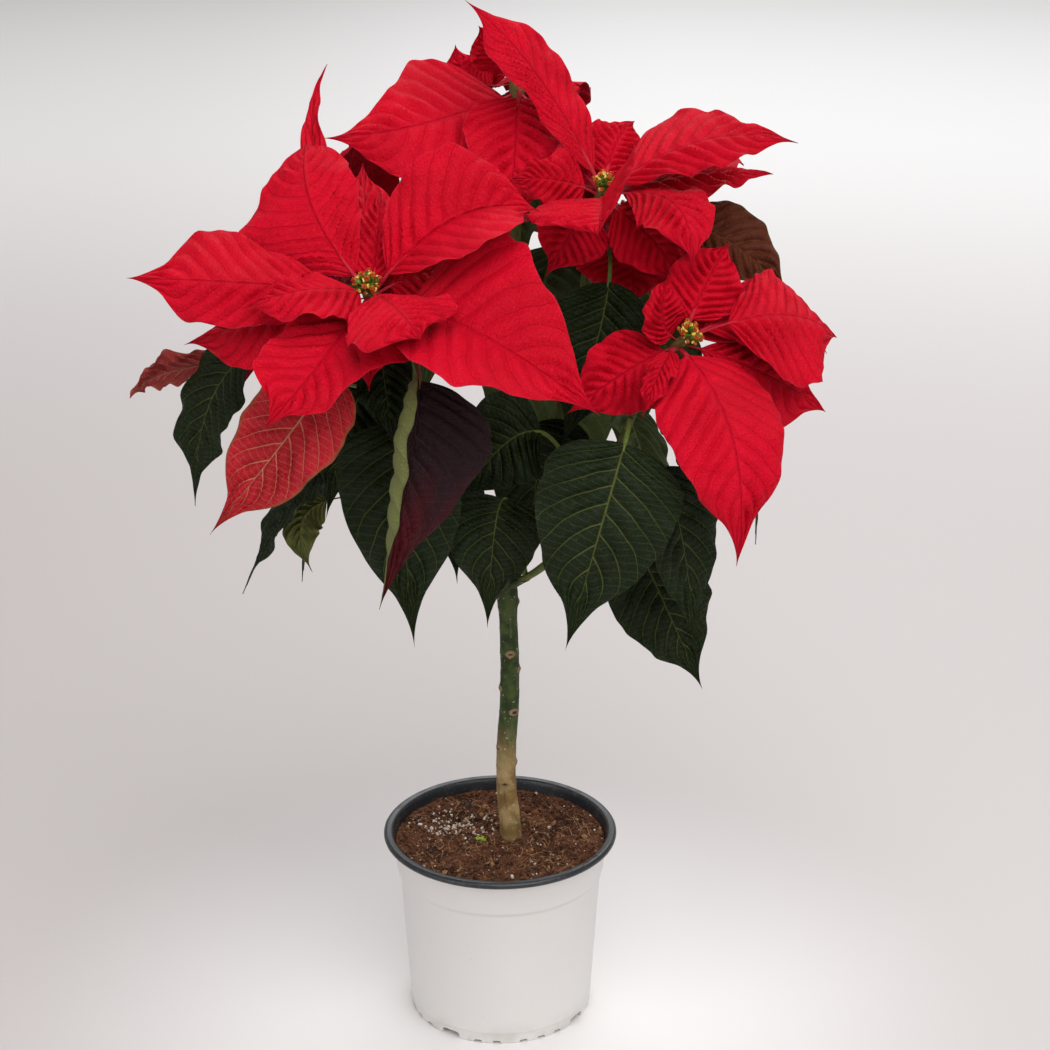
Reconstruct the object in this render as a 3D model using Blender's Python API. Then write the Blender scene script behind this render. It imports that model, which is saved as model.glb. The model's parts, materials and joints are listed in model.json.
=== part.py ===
"""A potted poinsettia grown as a small standard: pot, soil, trunk, leafy stems, bracts and cyathia.

Sizes are in millimetres until MM brings them to metres. +X is to the right, +Y is to the back, +Z is up,
and the origin is the middle of the pot's foot, on the surface that it stands on.
"""

import math

import bmesh
import bpy
from mathutils import Quaternion, Vector
from mathutils.bvhtree import BVHTree

MM = 0.001
GAP = 0.3
UP = Vector((0, 0, 1))

# pot
LIP_R = 75.0
LIP_WIDTH = 6.0
LIP_HEIGHT = 4.0
POT_HEIGHT = 125.0
COLLAR_TOP_R = 69.5
COLLAR_R = 66.5
STEP_Z = 98.0
BODY_R = 65.0
FOOT_R = 58.5
FOOT_BAND = 7.5
WALL = 1.3
FLOOR_Z = 6.0
BOSS_R = 16.0
POT_SIDES = 32
DRAIN_HOLES = 8
DRAIN_R = 4.0
DRAIN_RING = 44.0
BIG_NOTCHES = 4
BIG_NOTCH = (13.0, 4.5)
BIG_NOTCH_START = -123.0
SMALL_NOTCH = (5.0, 2.0)
SMALL_NOTCH_OFFSETS = (19, 31, 48, 60, 72)

# soil
SOIL_TOP = 117.5
SOIL_ROUGH = 1.2
SOIL_RINGS = (0.0, 0.28, 0.56, 0.82, 1.0)

# trunk: height, middle x, middle y, radius
TRUNK = (
    (62, 7.0, 1.0, 6.6),
    (112, 7.0, 1.0, 6.8),
    (130, 6.2, 0.5, 6.8),
    (157, 4.0, 0.0, 6.3),
    (186, 4.4, 0.0, 6.2),
    (214, 6.2, 0.0, 6.1),
    (242, 6.4, 0.0, 5.9),
    (270, 5.6, 0.0, 5.7),
    (288, 5.0, 0.0, 6.6),
    (299, 5.0, 0.0, 5.0),
)
TRUNK_SIDES = 12
HOLE_R = 7.6
# leaf scars: height, direction round the trunk in degrees, size
SCARS = (
    (249, -85, 3.6),
    (237, -15, 3.4),
    (224, 195, 3.4),
    (209, -60, 3.9),
    (183, 220, 3.4),
    (172, -5, 3.2),
    (159, -95, 3.6),
    (282, 10, 3.2),
)
FORK_Z = 292.0
STUB_LENGTH = 15.0
STUB_R = 4.6

# stems and blades
STEM_R = (4.2, 3.2)
STEM_SIDES = 7
STEM_STEPS = 5
STRAIGHT = 2.5
KNOB_R = 4.6
KNOB_LENGTH = 16.0
STALK_HALF = 1.4
STALK_SHARE = 0.45
BLADE_THICK = 0.8
BLADE_ROWS = (0.0, 0.12, 0.33, 0.6, 0.85, 1.0)
FEEL_MARGIN = 1.3
ROOT_SHARE = 0.14
ROOT_DEPTH = (2.5, 11.0)
SWINGS = (4, 8, 12, 17, 23, 30)
RING_ARCH = 0.1
SHRINKS = (1.0, 0.88, 0.76)
# skirt leaves: where they start up the stem, over how much of it, and the knee's rise and blade's reach
SKIRT_FROM = 0.35
SKIRT_SPAN = 0.5
SKIRT_RISE = 14.0
SKIRT_OUT = 30.0
GOLDEN = 0.618
# a loose body or a sealed hollow with no more corners than this is a crumb
SCRAP_CORNERS = 24

# cyathia
CUPS = 7
CUP_R = 2.0
CUP_LENGTH = 6.5
CUP_SIDES = 5
CUP_TURN = 2.35
CUP_RINGS = (0.5, 3.1, 5.5)
INNER_CUPS = 4


def direction(azimuth, elevation):
    """A unit vector, degrees from +X towards +Y and up from the floor."""
    a, e = math.radians(azimuth), math.radians(elevation)
    return Vector((math.cos(a) * math.cos(e), math.sin(a) * math.cos(e), math.sin(e)))


def bract(tip, middle, width, look, **more):
    """A bract: its tip and the middle of its midrib, both from the head's middle, and where it faces.

    look is the (azimuth, elevation) of its upper face. skew and full shape its outline, and each lobe is
    (side, share of the length, size, spread).
    """
    shape = dict(tip=Vector(tip), middle=Vector(middle), width=width, look=direction(*look))
    shape.update(fold=-8, cup=-0.08, wave=2.5, waves=2.0, tilt=0, twist=0, stalk=11, lobes=())
    shape.update(columns=4, skew=0.68, full=0.95)
    shape.update(more)
    return shape


def leaf(at, knee, tip, width, look, **more):
    """A leaf from the share `at` of its stem: its stalk ends at the knee, where the blade turns down."""
    shape = dict(at=at, knee=Vector(knee), tip=Vector(tip), width=width, look=direction(*look))
    shape.update(fold=8, cup=-0.1, wave=2.0, waves=2.0, tilt=0, twist=0, lobes=())
    shape.update(columns=2, skew=0.68, full=0.95)
    shape.update(more)
    return shape


# Each head has its middle, the way it faces (azimuth, elevation), the way its stem leaves the trunk, the
# bracts that are placed one by one, rings of bracts (count, first angle, sweep, tilt, length, width), the
# leaves of its stem that are placed one by one, and a skirt of leaves (count, spread, reach, drop, width).
HEADS = {
    "front_left": dict(
        hub=(-70, -95, 508),
        axis=(-100, 48),
        fork=(-126, 42),
        bracts=(
            bract(
                (-130, -10, 7), (-65, -13, 5), 76, (-82, 36), fold=-20, skew=1.4, full=0.8,
                lobes=((-1, 0.7, -0.4, 0.5),)
            ),
            bract(
                (-37, 65, 66), (-30, 23, 37), 54, (-100, 25), fold=-6, skew=1.2, full=0.6,
                lobes=((-1, 0.4, 0.9, 0.28),)
            ),
            bract((94, 25, 36), (48, 3, 37), 80, (-98, 49), fold=30, skew=0.9),
            bract(
                (126, -55, -57), (64, -37, -18), 90, (-75, 42), fold=24, stalk=26, skew=0.62, full=1.15,
                lobes=((-1, 0.36, 0.2, 0.1), (-1, 0.12, 0.65, 0.14))
            ),
            bract(
                (-56, -70, -48), (-25, -45, -23), 60, (-100, 52), fold=14, stalk=8, full=0.8,
                lobes=((1, 0.8, 0.45, 0.2), (-1, 0.12, 1.1, 0.2))
            ),
            bract((5, 50, 42), (5, 21, 24), 30, (-92, 22), fold=14, stalk=6, columns=2),
            bract((45, -55, 2), (26, -37, 9), 64, (-75, 62), skew=1.2, full=0.6, stalk=9, columns=2),
            bract((-66, -23, -17), (-32, -27, -1), 42, (-100, 65), stalk=7, columns=2),
            bract((-105, 20, -39), (-54, 0, -18), 62, (-85, 55), fold=-12, columns=2),
            bract((-28, 110, 103), (-32, 61, 57), 20, (-110, 12), fold=12, skew=0.5, columns=2),
            bract((-8, 95, 49), (-3, 45, 24), 44, (-80, 20), columns=2),
            bract((31, 95, 33), (14, 47, 17), 54, (70, 70), columns=2),
        ),
        rings=(),
        leaves=(
            leaf(0.78, (-149, -50, 452), (-176, -62, 368), 56, (-140, 15)),
            leaf(0.86, (-92, -122, 460), (-157, -138, 379), 58, (-98, 30), full=0.8),
            leaf(0.5, (-55, -84, 420), (-48, -96, 293), 74, (-95, 15), columns=4),
            leaf(
                0.7, (-42, -114, 453), (-65, -137, 334), 66, (-50, 10), fold=32,
                lobes=((-1, 0.3, 0.4, 0.3),)
            ),
            leaf(0.6, (-79, -50, 432), (-100, -60, 360), 52, (-115, 20)),
            leaf(0.4, (-99, -38, 384), (-155, -42, 301), 42, (-160, 25)),
            leaf(0.55, (-91, -72, 443), (-97, -80, 396), 22, (100, 10)),
            leaf(0.35, (-106, -28, 373), (-119, -36, 334), 26, (70, 10)),
        ),
        skirt=(0, 0, 0, 0, 0),
    ),
    "top": dict(
        hub=(11, 55, 599),
        axis=(95, 66),
        fork=(100, 68),
        bracts=(
            bract(
                (-112, -50, -29), (-53, -30, -24), 58, (-100, 40), fold=-6, skew=0.55, full=1.1,
                lobes=((-1, 0.25, 0.7, 0.25), (-1, 0.65, 0.6, 0.2), (1, 0.3, 0.8, 0.3))
            ),
            bract((-39, 11, 15), (-28, 6, -5), 38, (-95, 15), fold=-10, columns=2),
            bract((-29, 29, 17), (-17, 13, 6), 26, (-90, 10), fold=8, columns=2),
            bract((19, -30, -33), (10, -17, -17), 34, (-90, 35), columns=2),
            bract((-14, 0, -62), (-8, -4, -30), 44, (-95, 15), columns=2),
            bract((36, -8, -44), (20, -12, -16), 46, (-80, 20), columns=2),
        ),
        rings=((3, 228, 129, 106, 104, 62), (2, 250, 90, 90, 82, 48)),
        leaves=(
            leaf(0.24, (-23, 8, 363), (-26, 4, 292), 36, (-90, 15)),
            leaf(0.3, (23, 4, 392), (15, -2, 307), 66, (-90, 15)),
        ),
        skirt=(4, 90, 48, 105, 62),
    ),
    "upper_right": dict(
        hub=(62, -10, 545),
        axis=(-70, 58),
        fork=(5, 62),
        bracts=(
            bract(
                (-80, 25, 102), (-37, 15, 59), 46, (-60, 20), fold=-12, skew=0.9,
                lobes=((-1, 0.35, -0.45, 0.4),)
            ),
            bract(
                (109, -10, 27), (54, -8, 28), 50, (-92, 60), skew=0.7,
                lobes=((-1, 0.2, 0.9, 0.3), (1, 0.25, -0.3, 0.3))
            ),
            bract((99, 20, 3), (53, 12, 5), 38, (-90, 72), columns=2),
            bract((48, -52, -35), (37, -28, -3), 48, (-62, 34), skew=0.9),
            bract((-6, -68, -13), (-3, -42, -4), 86, (-95, 60), fold=32, tilt=-32, skew=0.9, full=0.6),
            bract(
                (-55, -10, 17), (-26, -12, 13), 34, (-95, 40), fold=-10, skew=0.5, columns=2,
                lobes=((1, 0.15, 1.0, 0.15),)
            ),
            bract((21, 35, 36), (7, 18, 22), 44, (-90, 25), columns=2),
            bract((-37, 22, 39), (-19, 14, 21), 50, (-70, 10), columns=2),
            bract((13, 2, -73), (12, 8, -38), 64, (-90, 12), stalk=24, columns=2),
            bract((82, 80, 4), (52, 40, 4), 56, (60, 75), columns=2),
            bract((30, 105, 8), (16, 55, 7), 54, (90, 70), columns=2),
        ),
        rings=(),
        leaves=(
            leaf(0.82, (64, -22, 485), (37, -42, 397), 56, (-100, 12)),
            leaf(0.75, (118, 15, 514), (174, 2, 472), 46, (-80, 30)),
        ),
        skirt=(3, 80, 50, 100, 60),
    ),
    "lower_right": dict(
        hub=(108, -60, 470),
        axis=(-52, 42),
        fork=(-38, 34),
        bracts=(
            bract((26, -65, -115), (22, -60, -42), 68, (-78, 20), skew=0.55, full=0.65, stalk=9, cup=-0.15),
            bract((91, -10, -9), (45, -20, 12), 84, (-70, 50), stalk=21, skew=1.1, full=0.7, cup=-0.12),
            bract((88, 18, -6), (48, 14, 15), 54, (-60, 40), skew=1.1, full=0.7),
            bract((87, 10, -36), (45, 2, -15), 60, (-70, 45), skew=1.1, columns=2),
            bract((-9, 10, 37), (-14, 0, 10), 30, (-60, 20), fold=15, stalk=8, columns=2),
            bract((-27, -44, -35), (-17, -30, -12), 18, (-110, 40), stalk=10, columns=2),
            bract((-29, -2, -45), (-21, -2, -26), 46, (-100, 25), full=0.7, columns=2),
            bract((73, 75, -21), (37, 45, -6), 56, (30, 70), columns=2),
            bract((21, 70, 15), (13, 38, 12), 46, (-90, 30), full=0.7, columns=2),
        ),
        rings=(),
        leaves=(
            leaf(0.6, (70, -104, 414), (39, -112, 298), 82, (-90, 14), columns=4),
            leaf(0.45, (84, -52, 335), (122, -66, 253), 64, (-70, 20)),
            leaf(0.12, (3, -72, 375), (-6, -84, 300), 60, (-92, 22)),
            leaf(0.36, (16, -56, 400), (-19, -70, 346), 60, (-92, 22)),
        ),
        skirt=(2, 60, 50, 100, 60),
    ),
    "back_right": dict(
        hub=(78, 92, 505),
        axis=(50, 45),
        fork=(58, 46),
        bracts=(),
        rings=((4, 10, 360, 98, 120, 72), (4, 55, 360, 84, 106, 66), (3, 20, 360, 62, 62, 38)),
        leaves=(),
        skirt=(6, 130, 52, 110, 66),
    ),
    "back_left": dict(
        hub=(-92, 72, 490),
        axis=(140, 42),
        fork=(148, 45),
        bracts=(),
        rings=((4, 25, 360, 98, 120, 72), (4, 70, 360, 84, 106, 66), (3, 35, 360, 62, 62, 38)),
        leaves=(leaf(0.6, (-168, -10, 440), (-215, -35, 425), 34, (120, 40)),),
        skirt=(6, 130, 52, 110, 66),
    ),
}


def make_material(name, colour, roughness):
    material = bpy.data.materials.new(name)
    material.use_nodes = True
    shader = material.node_tree.nodes["Principled BSDF"]
    shader.inputs["Base Color"].default_value = (*colour, 1.0)
    shader.inputs["Roughness"].default_value = roughness
    shader.inputs["Metallic"].default_value = 0.0
    material.diffuse_color = (*colour, 1.0)
    return material


def add_object(name, bm, material=None, smooth=False):
    """An object from a bmesh in millimetres."""
    bmesh.ops.scale(bm, vec=(MM, MM, MM), verts=bm.verts)
    bmesh.ops.recalc_face_normals(bm, faces=bm.faces)
    mesh = bpy.data.meshes.new(name)
    bm.to_mesh(mesh)
    bm.free()
    if smooth:
        mesh.shade_smooth()
        mesh.set_sharp_from_angle(angle=math.radians(40))
    thing = bpy.data.objects.new(name, mesh)
    if material:
        mesh.materials.append(material)
    bpy.context.scene.collection.objects.link(thing)
    return thing


def united(name, pieces, material, cuts=()):
    """One object from the pieces by a Boolean union, less the cuts."""
    body = pieces[0]
    for kind, others in (("UNION", pieces[1:]), ("DIFFERENCE", list(cuts))):
        if not others:
            continue
        group = bpy.data.collections.new(name + "_" + kind.lower())
        for other in others:
            group.objects.link(other)
        step = body.modifiers.new(kind.lower(), "BOOLEAN")
        step.operation = kind
        step.operand_type = "COLLECTION"
        step.collection = group
        step.solver = "EXACT"
        depsgraph = bpy.context.evaluated_depsgraph_get()
        result = bpy.data.meshes.new_from_object(body.evaluated_get(depsgraph))
        body.modifiers.clear()
        body.data = result
        for other in others:
            bpy.data.objects.remove(other)
        bpy.data.collections.remove(group)
    drop_scraps(body.data)
    body.name = name
    body.data.name = name
    body.data.materials.clear()
    body.data.materials.append(material)
    body.data.shade_smooth()
    body.data.set_sharp_from_angle(angle=math.radians(40))
    return body


def drop_scraps(mesh):
    """Take away the loose crumbs and sealed hollows that a Boolean can leave where two surfaces graze."""
    bm = bmesh.new()
    bm.from_mesh(mesh)
    left = set(bm.verts)
    while left:
        island = {left.pop()}
        fresh = list(island)
        while fresh:
            corner = fresh.pop()
            near = {edge.other_vert(corner) for edge in corner.link_edges} - island
            island |= near
            fresh += near
        left -= island
        if len(island) <= SCRAP_CORNERS:
            bmesh.ops.delete(bm, geom=list(island), context="VERTS")
    bm.to_mesh(mesh)
    bm.free()


def turned(profile, sides):
    """A closed outline of (radius, height) spun about the pot's axis."""
    bm = bmesh.new()
    corners = [bm.verts.new((radius, 0, height)) for radius, height in profile]
    edges = [bm.edges.new(pair) for pair in zip(corners, corners[1:] + corners[:1])]
    bmesh.ops.spin(
        bm, geom=corners + edges, cent=(0, 0, 0), axis=(0, 0, 1), angle=math.tau, steps=sides, use_merge=True
    )
    bmesh.ops.remove_doubles(bm, verts=bm.verts, dist=1e-4)
    bmesh.ops.dissolve_degenerate(bm, edges=bm.edges, dist=1e-4)
    return bm


def tube(points, radii, sides):
    """A round bar through the points, closed at both ends."""
    bm = bmesh.new()
    rings = []
    turn, before = None, None
    for index, (point, radius) in enumerate(zip(points, radii)):
        ahead = (points[min(index + 1, len(points) - 1)] - points[max(index - 1, 0)]).normalized()
        turn = before.rotation_difference(ahead) @ turn if turn else ahead.to_track_quat("Z", "Y")
        before = ahead
        ring = bmesh.ops.create_circle(bm, cap_ends=False, radius=radius, segments=sides)["verts"]
        bmesh.ops.rotate(bm, verts=ring, cent=(0, 0, 0), matrix=turn.to_matrix())
        bmesh.ops.translate(bm, verts=ring, vec=point)
        rings.append(ring)
    for lower, upper in zip(rings, rings[1:]):
        for i in range(sides):
            j = (i + 1) % sides
            bm.faces.new((lower[i], lower[j], upper[j], upper[i]))
    bm.faces.new(rings[0])
    bm.faces.new(rings[-1])
    return bm


def tree_of(bm):
    return BVHTree.FromBMesh(bm)


def stalked(shape):
    """The shape with its bend point and the share of it that is stalk."""
    root, tip = shape["root"], shape["tip"]
    if "knee" in shape:
        shape["bend"] = shape["knee"] * 2 - (root + tip) / 2
        shape["share"] = STALK_SHARE
        shape["across"] = (tip - shape["knee"]).cross(shape["look"])
        return shape
    shape["across"] = (tip - root).cross(shape["look"])
    shape["bend"] = shape["middle"] * 2 - (root + tip) / 2
    shape["share"] = shape["stalk"] / (tip - root).length
    return shape


def midrib(shape, t):
    """Point, direction, side and upward normal of a blade's midrib at the share t of its length."""
    root, bend, tip = shape["root"], shape["bend"], shape["tip"]
    point = root * (1 - t) ** 2 + bend * 2 * t * (1 - t) + tip * t**2
    heading = ((bend - root) * (1 - t) + (tip - bend) * t).normalized()
    side = (shape["across"] - heading * heading.dot(shape["across"])).normalized()
    side = Quaternion(heading, math.radians(shape["twist"] * (t - 0.5))) @ side
    return point, heading, side, side.cross(heading)


def half_width(shape, t, v):
    """Half the blade's width at t, on the side of v, with the stalk, the lobes and the drawn-out tip."""
    share = shape["share"]
    if t <= share:
        return STALK_HALF
    tau = (t - share) / (1 - share)
    q = tau ** shape["skew"]
    half = shape["width"] / 2 * max(4 * q * (1 - q), 0) ** shape["full"]
    for sign, at, size, spread in shape["lobes"]:
        if sign * v > 0:
            half *= 1 + size * math.exp(-(((tau - at) / spread) ** 2))
    return max(half, STALK_HALF * min(1, 8 * (1 - t)))


def blade_point(shape, t, v):
    """A point of the blade's middle surface and its normal there: t along, v from -1 to 1 across."""
    point, heading, side, normal = midrib(shape, t)
    share = shape["share"]
    tau = max(0.0, (t - share) / (1 - share))
    half = half_width(shape, t, v)
    fold = math.radians(shape["fold"] + shape["tilt"] * (1 if v > 0 else -1))
    phase = 2 * math.pi * shape["waves"] * tau + (1.9 if v < 0 else 0)
    lift = half * abs(v) * math.sin(fold) + shape["cup"] * half * v * v
    lift += shape["wave"] * math.sin(phase) * v * v * math.sin(math.pi * tau)
    place = point + side * v * half * math.cos(fold) + normal * lift
    lean = math.atan(math.tan(fold) + 2 * shape["cup"] * abs(v)) if v and half > STALK_HALF else 0.0
    return place, normal * math.cos(lean) - side * math.copysign(math.sin(lean), v)


def row_stops(shape):
    """Where a blade's rows lie along it: the root, then the blade's own shares."""
    share = shape["share"]
    before = [0.0, share * 0.55] if "knee" in shape else [0.0]
    return before + [share + (1 - share) * row for row in BLADE_ROWS]


def blade_solid(shape, margin=0.0):
    """A blade as a closed solid, alike on both faces; a margin swells its far end.

    The layer "along" of its corners holds how far along the blade they are.
    """
    stops = row_stops(shape)
    bm = bmesh.new()
    down = bm.verts.layers.float_vector.new("down")
    along = bm.verts.layers.float.new("along")
    bmesh.ops.create_grid(bm, x_segments=len(stops) - 1, y_segments=shape["columns"], size=1)
    for vert in bm.verts:
        t = stops[round((vert.co.x + 1) / 2 * (len(stops) - 1))]
        place, normal = blade_point(shape, t, vert.co.y)
        half_thick = BLADE_THICK / 2 + margin * min(1.0, 0.1 + 3 * t * t)
        vert.co = place + normal * half_thick
        vert[down] = normal * 2 * half_thick
        vert[along] = t
    bmesh.ops.remove_doubles(bm, verts=bm.verts, dist=0.05)
    bmesh.ops.triangulate(bm, faces=bm.faces, quad_method="SHORT_EDGE", ngon_method="BEAUTY")
    under = bmesh.ops.extrude_face_region(bm, geom=bm.faces)["geom"]
    for vert in under:
        if isinstance(vert, bmesh.types.BMVert):
            vert.co -= vert[down]
    bmesh.ops.recalc_face_normals(bm, faces=bm.faces)
    return bm


def feelers(shape):
    """Two search trees of a slightly swollen blade: all of it, and without the stretch next to its root."""
    bm = blade_solid(shape, FEEL_MARGIN)
    along = bm.verts.layers.float["along"]
    bm.verts.index_update()
    points = [vert.co.copy() for vert in bm.verts]
    whole, outer = [], []
    for face in bm.faces:
        corners = [vert.index for vert in face.verts]
        whole.append(corners)
        if min(vert[along] for vert in face.verts) >= ROOT_SHARE:
            outer.append(corners)
    bm.free()
    return BVHTree.FromPolygons(points, whole), BVHTree.FromPolygons(points, outer)


def swung(shape, lift, turn, shrink):
    """The blade swung about its root, up by lift and round by turn degrees, and shortened."""
    reach = shape["tip"] - shape["root"]
    level = reach.cross(UP)
    if level.length < 1e-6:
        level = Vector((1, 0, 0))
    swing = Quaternion(UP, math.radians(turn)) @ Quaternion(level.normalized(), math.radians(lift))
    moved = dict(shape)
    moved["tip"] = shape["root"] + swing @ reach * shrink
    moved["look"] = swing @ shape["look"]
    key = "knee" if "knee" in shape else "middle"
    moved[key] = shape["root"] + swing @ (shape[key] - shape["root"]) * shrink
    moved["width"] = shape["width"] * shrink
    return stalked(moved)


def swings():
    """The swings to try, the smallest first."""
    yield 0, 0
    for size in SWINGS:
        for lift in (1, -1):
            yield size * lift, 0
        for turn in (1, -1):
            yield 0, size * turn
        for lift in (0.7, -0.7):
            for turn in (0.7, -0.7):
                yield size * lift, size * turn


def bent_clear(shape, node, placed):
    """The blade bent as little as clears the other nodes, and its own node past the roots."""
    for shrink in SHRINKS:
        for lift, turn in swings():
            trial = swung(shape, lift, turn, shrink)
            whole, outer = feelers(trial)
            for owner, their_whole, their_outer in placed:
                mine = outer if owner == node else whole
                theirs = their_outer if owner == node else their_whole
                if theirs and mine.overlap(theirs):
                    break
            else:
                placed.append((node, whole, outer))
                return trial
    return None


def pot():
    """The thermoformed pot: rolled lip, collar, step, body, foot ring with notches, floor with holes."""
    under = POT_HEIGHT - LIP_HEIGHT
    inner_lip = LIP_R - LIP_WIDTH
    profile = (
        (BOSS_R, 0.0),
        (BOSS_R + 3, FLOOR_Z - WALL),
        (FOOT_R - 6, FLOOR_Z - WALL),
        (FOOT_R - 3.5, 0.0),
        (FOOT_R, 0.0),
        (FOOT_R + 0.4, FOOT_BAND),
        (FOOT_R + 0.9, FOOT_BAND + 0.6),
        (BODY_R, STEP_Z - 1.0),
        (COLLAR_R, STEP_Z + 0.6),
        (COLLAR_TOP_R, under + 0.4),
        (LIP_R - 1.6, under - 0.3),
        (LIP_R - 0.3, under + 0.6),
        (LIP_R, under + 2.0),
        (LIP_R - 0.8, POT_HEIGHT - 0.6),
        (LIP_R - 2.6, POT_HEIGHT),
        (inner_lip + 1.5, POT_HEIGHT - 0.2),
        (inner_lip, POT_HEIGHT - 1.5),
        (COLLAR_TOP_R - WALL, under),
        (COLLAR_R - WALL, STEP_Z + 1.2),
        (BODY_R - WALL, STEP_Z - 1.8),
        (FOOT_R - WALL, FLOOR_Z + 2),
        (FOOT_R - WALL - 2, FLOOR_Z),
        (BOSS_R + 1.6, FLOOR_Z),
        (BOSS_R - 1.4, WALL),
        (0.0, WALL),
        (0.0, 0.0),
    )
    body = add_object("pot", turned(profile, POT_SIDES))
    cuts = []
    for i in range(DRAIN_HOLES):
        bm = bmesh.new()
        bmesh.ops.create_cone(
            bm, cap_ends=True, segments=10, radius1=DRAIN_R, radius2=DRAIN_R, depth=4 * FLOOR_Z
        )
        spot = direction(i * 360 / DRAIN_HOLES, 0) * DRAIN_RING
        bmesh.ops.translate(bm, verts=bm.verts, vec=spot + UP * FLOOR_Z)
        cuts.append(add_object("drain", bm))
    for i in range(BIG_NOTCHES):
        start = BIG_NOTCH_START + i * 360 / BIG_NOTCHES
        cuts.append(notch(start, BIG_NOTCH))
        cuts += [notch(start + offset, SMALL_NOTCH) for offset in SMALL_NOTCH_OFFSETS]
    material = make_material("pot white plastic", (0.78, 0.77, 0.76), 0.4)
    return united("pot", [body], material, cuts)


def notch(azimuth, size):
    """A cutter through the foot ring at an angle, (width, height) in size."""
    bm = bmesh.new()
    bmesh.ops.create_cube(bm, size=1)
    bmesh.ops.scale(bm, vec=(9, size[0], 2 * size[1]), verts=bm.verts)
    bmesh.ops.translate(bm, verts=bm.verts, vec=(FOOT_R - 1.5, 0, 0))
    turn = Quaternion(UP, math.radians(azimuth)).to_matrix()
    bmesh.ops.rotate(bm, verts=bm.verts, cent=(0, 0, 0), matrix=turn)
    return add_object("notch", bm)


def soil():
    """The root ball: follows the pot's inside, with a lumpy top and a plain hole for the trunk."""
    wall = WALL + GAP
    top_r = COLLAR_TOP_R - wall - 0.6
    profile = [
        (0.0, WALL + GAP),
        (BOSS_R - 1.75, WALL + GAP),
        (BOSS_R + 1.25, FLOOR_Z + GAP),
        (FOOT_R - wall - 2, FLOOR_Z + GAP),
        (FOOT_R - wall, FLOOR_Z + 2 + GAP),
        (BODY_R - wall, STEP_Z - 1.8),
        (COLLAR_R - wall, STEP_Z + 1.5),
        (top_r, SOIL_TOP - 0.5),
    ]
    profile += [(top_r * share, SOIL_TOP) for share in reversed(SOIL_RINGS[:-1])]
    bm = turned(profile, POT_SIDES)
    for vert in bm.verts:
        x, y, z = vert.co
        if z > SOIL_TOP - 1:
            lumps = math.sin(0.21 * x + 1.3) * math.cos(0.17 * y - 0.4)
            lumps += 0.6 * math.sin(0.43 * x - 0.37 * y)
            inward = min(1.0, (top_r - math.hypot(x, y)) / 12)
            vert.co.z += SOIL_ROUGH * lumps * (0.3 + 0.7 * inward)
    body = add_object("soil", bm)
    low, high = TRUNK[0], TRUNK[2]
    ends = [Vector((low[1], low[2], low[0] - GAP)), Vector((high[1], high[2], high[0]))]
    hole = tube(ends, [HOLE_R, HOLE_R], TRUNK_SIDES)
    material = make_material("soil peat", (0.09, 0.045, 0.025), 0.95)
    return united("soil", [body], material, [add_object("hole", hole)])


def fork_point(azimuth, elevation):
    """Where the trunk's stub towards a stem begins, and its direction."""
    top = Vector((TRUNK[-2][1], TRUNK[-2][2], FORK_Z))
    return top, direction(azimuth, elevation)


def trunk():
    """The woody trunk with its leaf scars and a stub towards each leafy stem."""
    points = [Vector((x, y, z)) for z, x, y, _ in TRUNK]
    pieces = [add_object("trunk", tube(points, [row[3] for row in TRUNK], TRUNK_SIDES))]
    for height, azimuth, size in SCARS:
        below, above = [pair for pair in zip(TRUNK, TRUNK[1:]) if pair[0][0] <= height <= pair[1][0]][0]
        share = (height - below[0]) / (above[0] - below[0])
        x, y, radius = (below[i] + (above[i] - below[i]) * share for i in (1, 2, 3))
        bm = bmesh.new()
        bmesh.ops.create_icosphere(bm, subdivisions=1, radius=size)
        bmesh.ops.scale(bm, vec=(0.75, 1, 0.8), verts=bm.verts)
        bmesh.ops.rotate(
            bm, verts=bm.verts, cent=(0, 0, 0), matrix=Quaternion(UP, math.radians(azimuth)).to_matrix()
        )
        bmesh.ops.translate(
            bm, verts=bm.verts, vec=Vector((x, y, height)) + direction(azimuth, 0) * (radius - size * 0.35)
        )
        pieces.append(add_object("scar", bm))
    for head in HEADS.values():
        start, way = fork_point(*head["fork"])
        bm = tube([start, start + way * STUB_LENGTH], [STUB_R + 0.6, STUB_R], STEM_SIDES)
        pieces.append(add_object("stub", bm))
    material = make_material("trunk bark", (0.12, 0.11, 0.05), 0.65)
    return united("trunk", pieces, material)


def stem_path(head):
    """The middle line of a leafy stem, from the trunk's stub to the head's knob."""
    start, way = fork_point(*head["fork"])
    axis = direction(*head["axis"])
    foot = start + way * (STUB_LENGTH + GAP)
    head_end = Vector(head["hub"]) - axis * (KNOB_LENGTH + GAP)
    first, last = foot + way * STRAIGHT, head_end - axis * STRAIGHT
    reach = (last - first).length
    a, b = first + way * reach * 0.4, last - axis * reach * 0.3
    points = [foot]
    for i in range(STEM_STEPS + 1):
        t = i / STEM_STEPS
        points.append(
            first * (1 - t) ** 3 + a * 3 * t * (1 - t) ** 2 + b * 3 * t * t * (1 - t) + last * t**3
        )
    return points + [head_end]


def on_path(points, share):
    place = share * (len(points) - 1)
    index = min(int(place), len(points) - 2)
    return points[index].lerp(points[index + 1], place - index)


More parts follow.
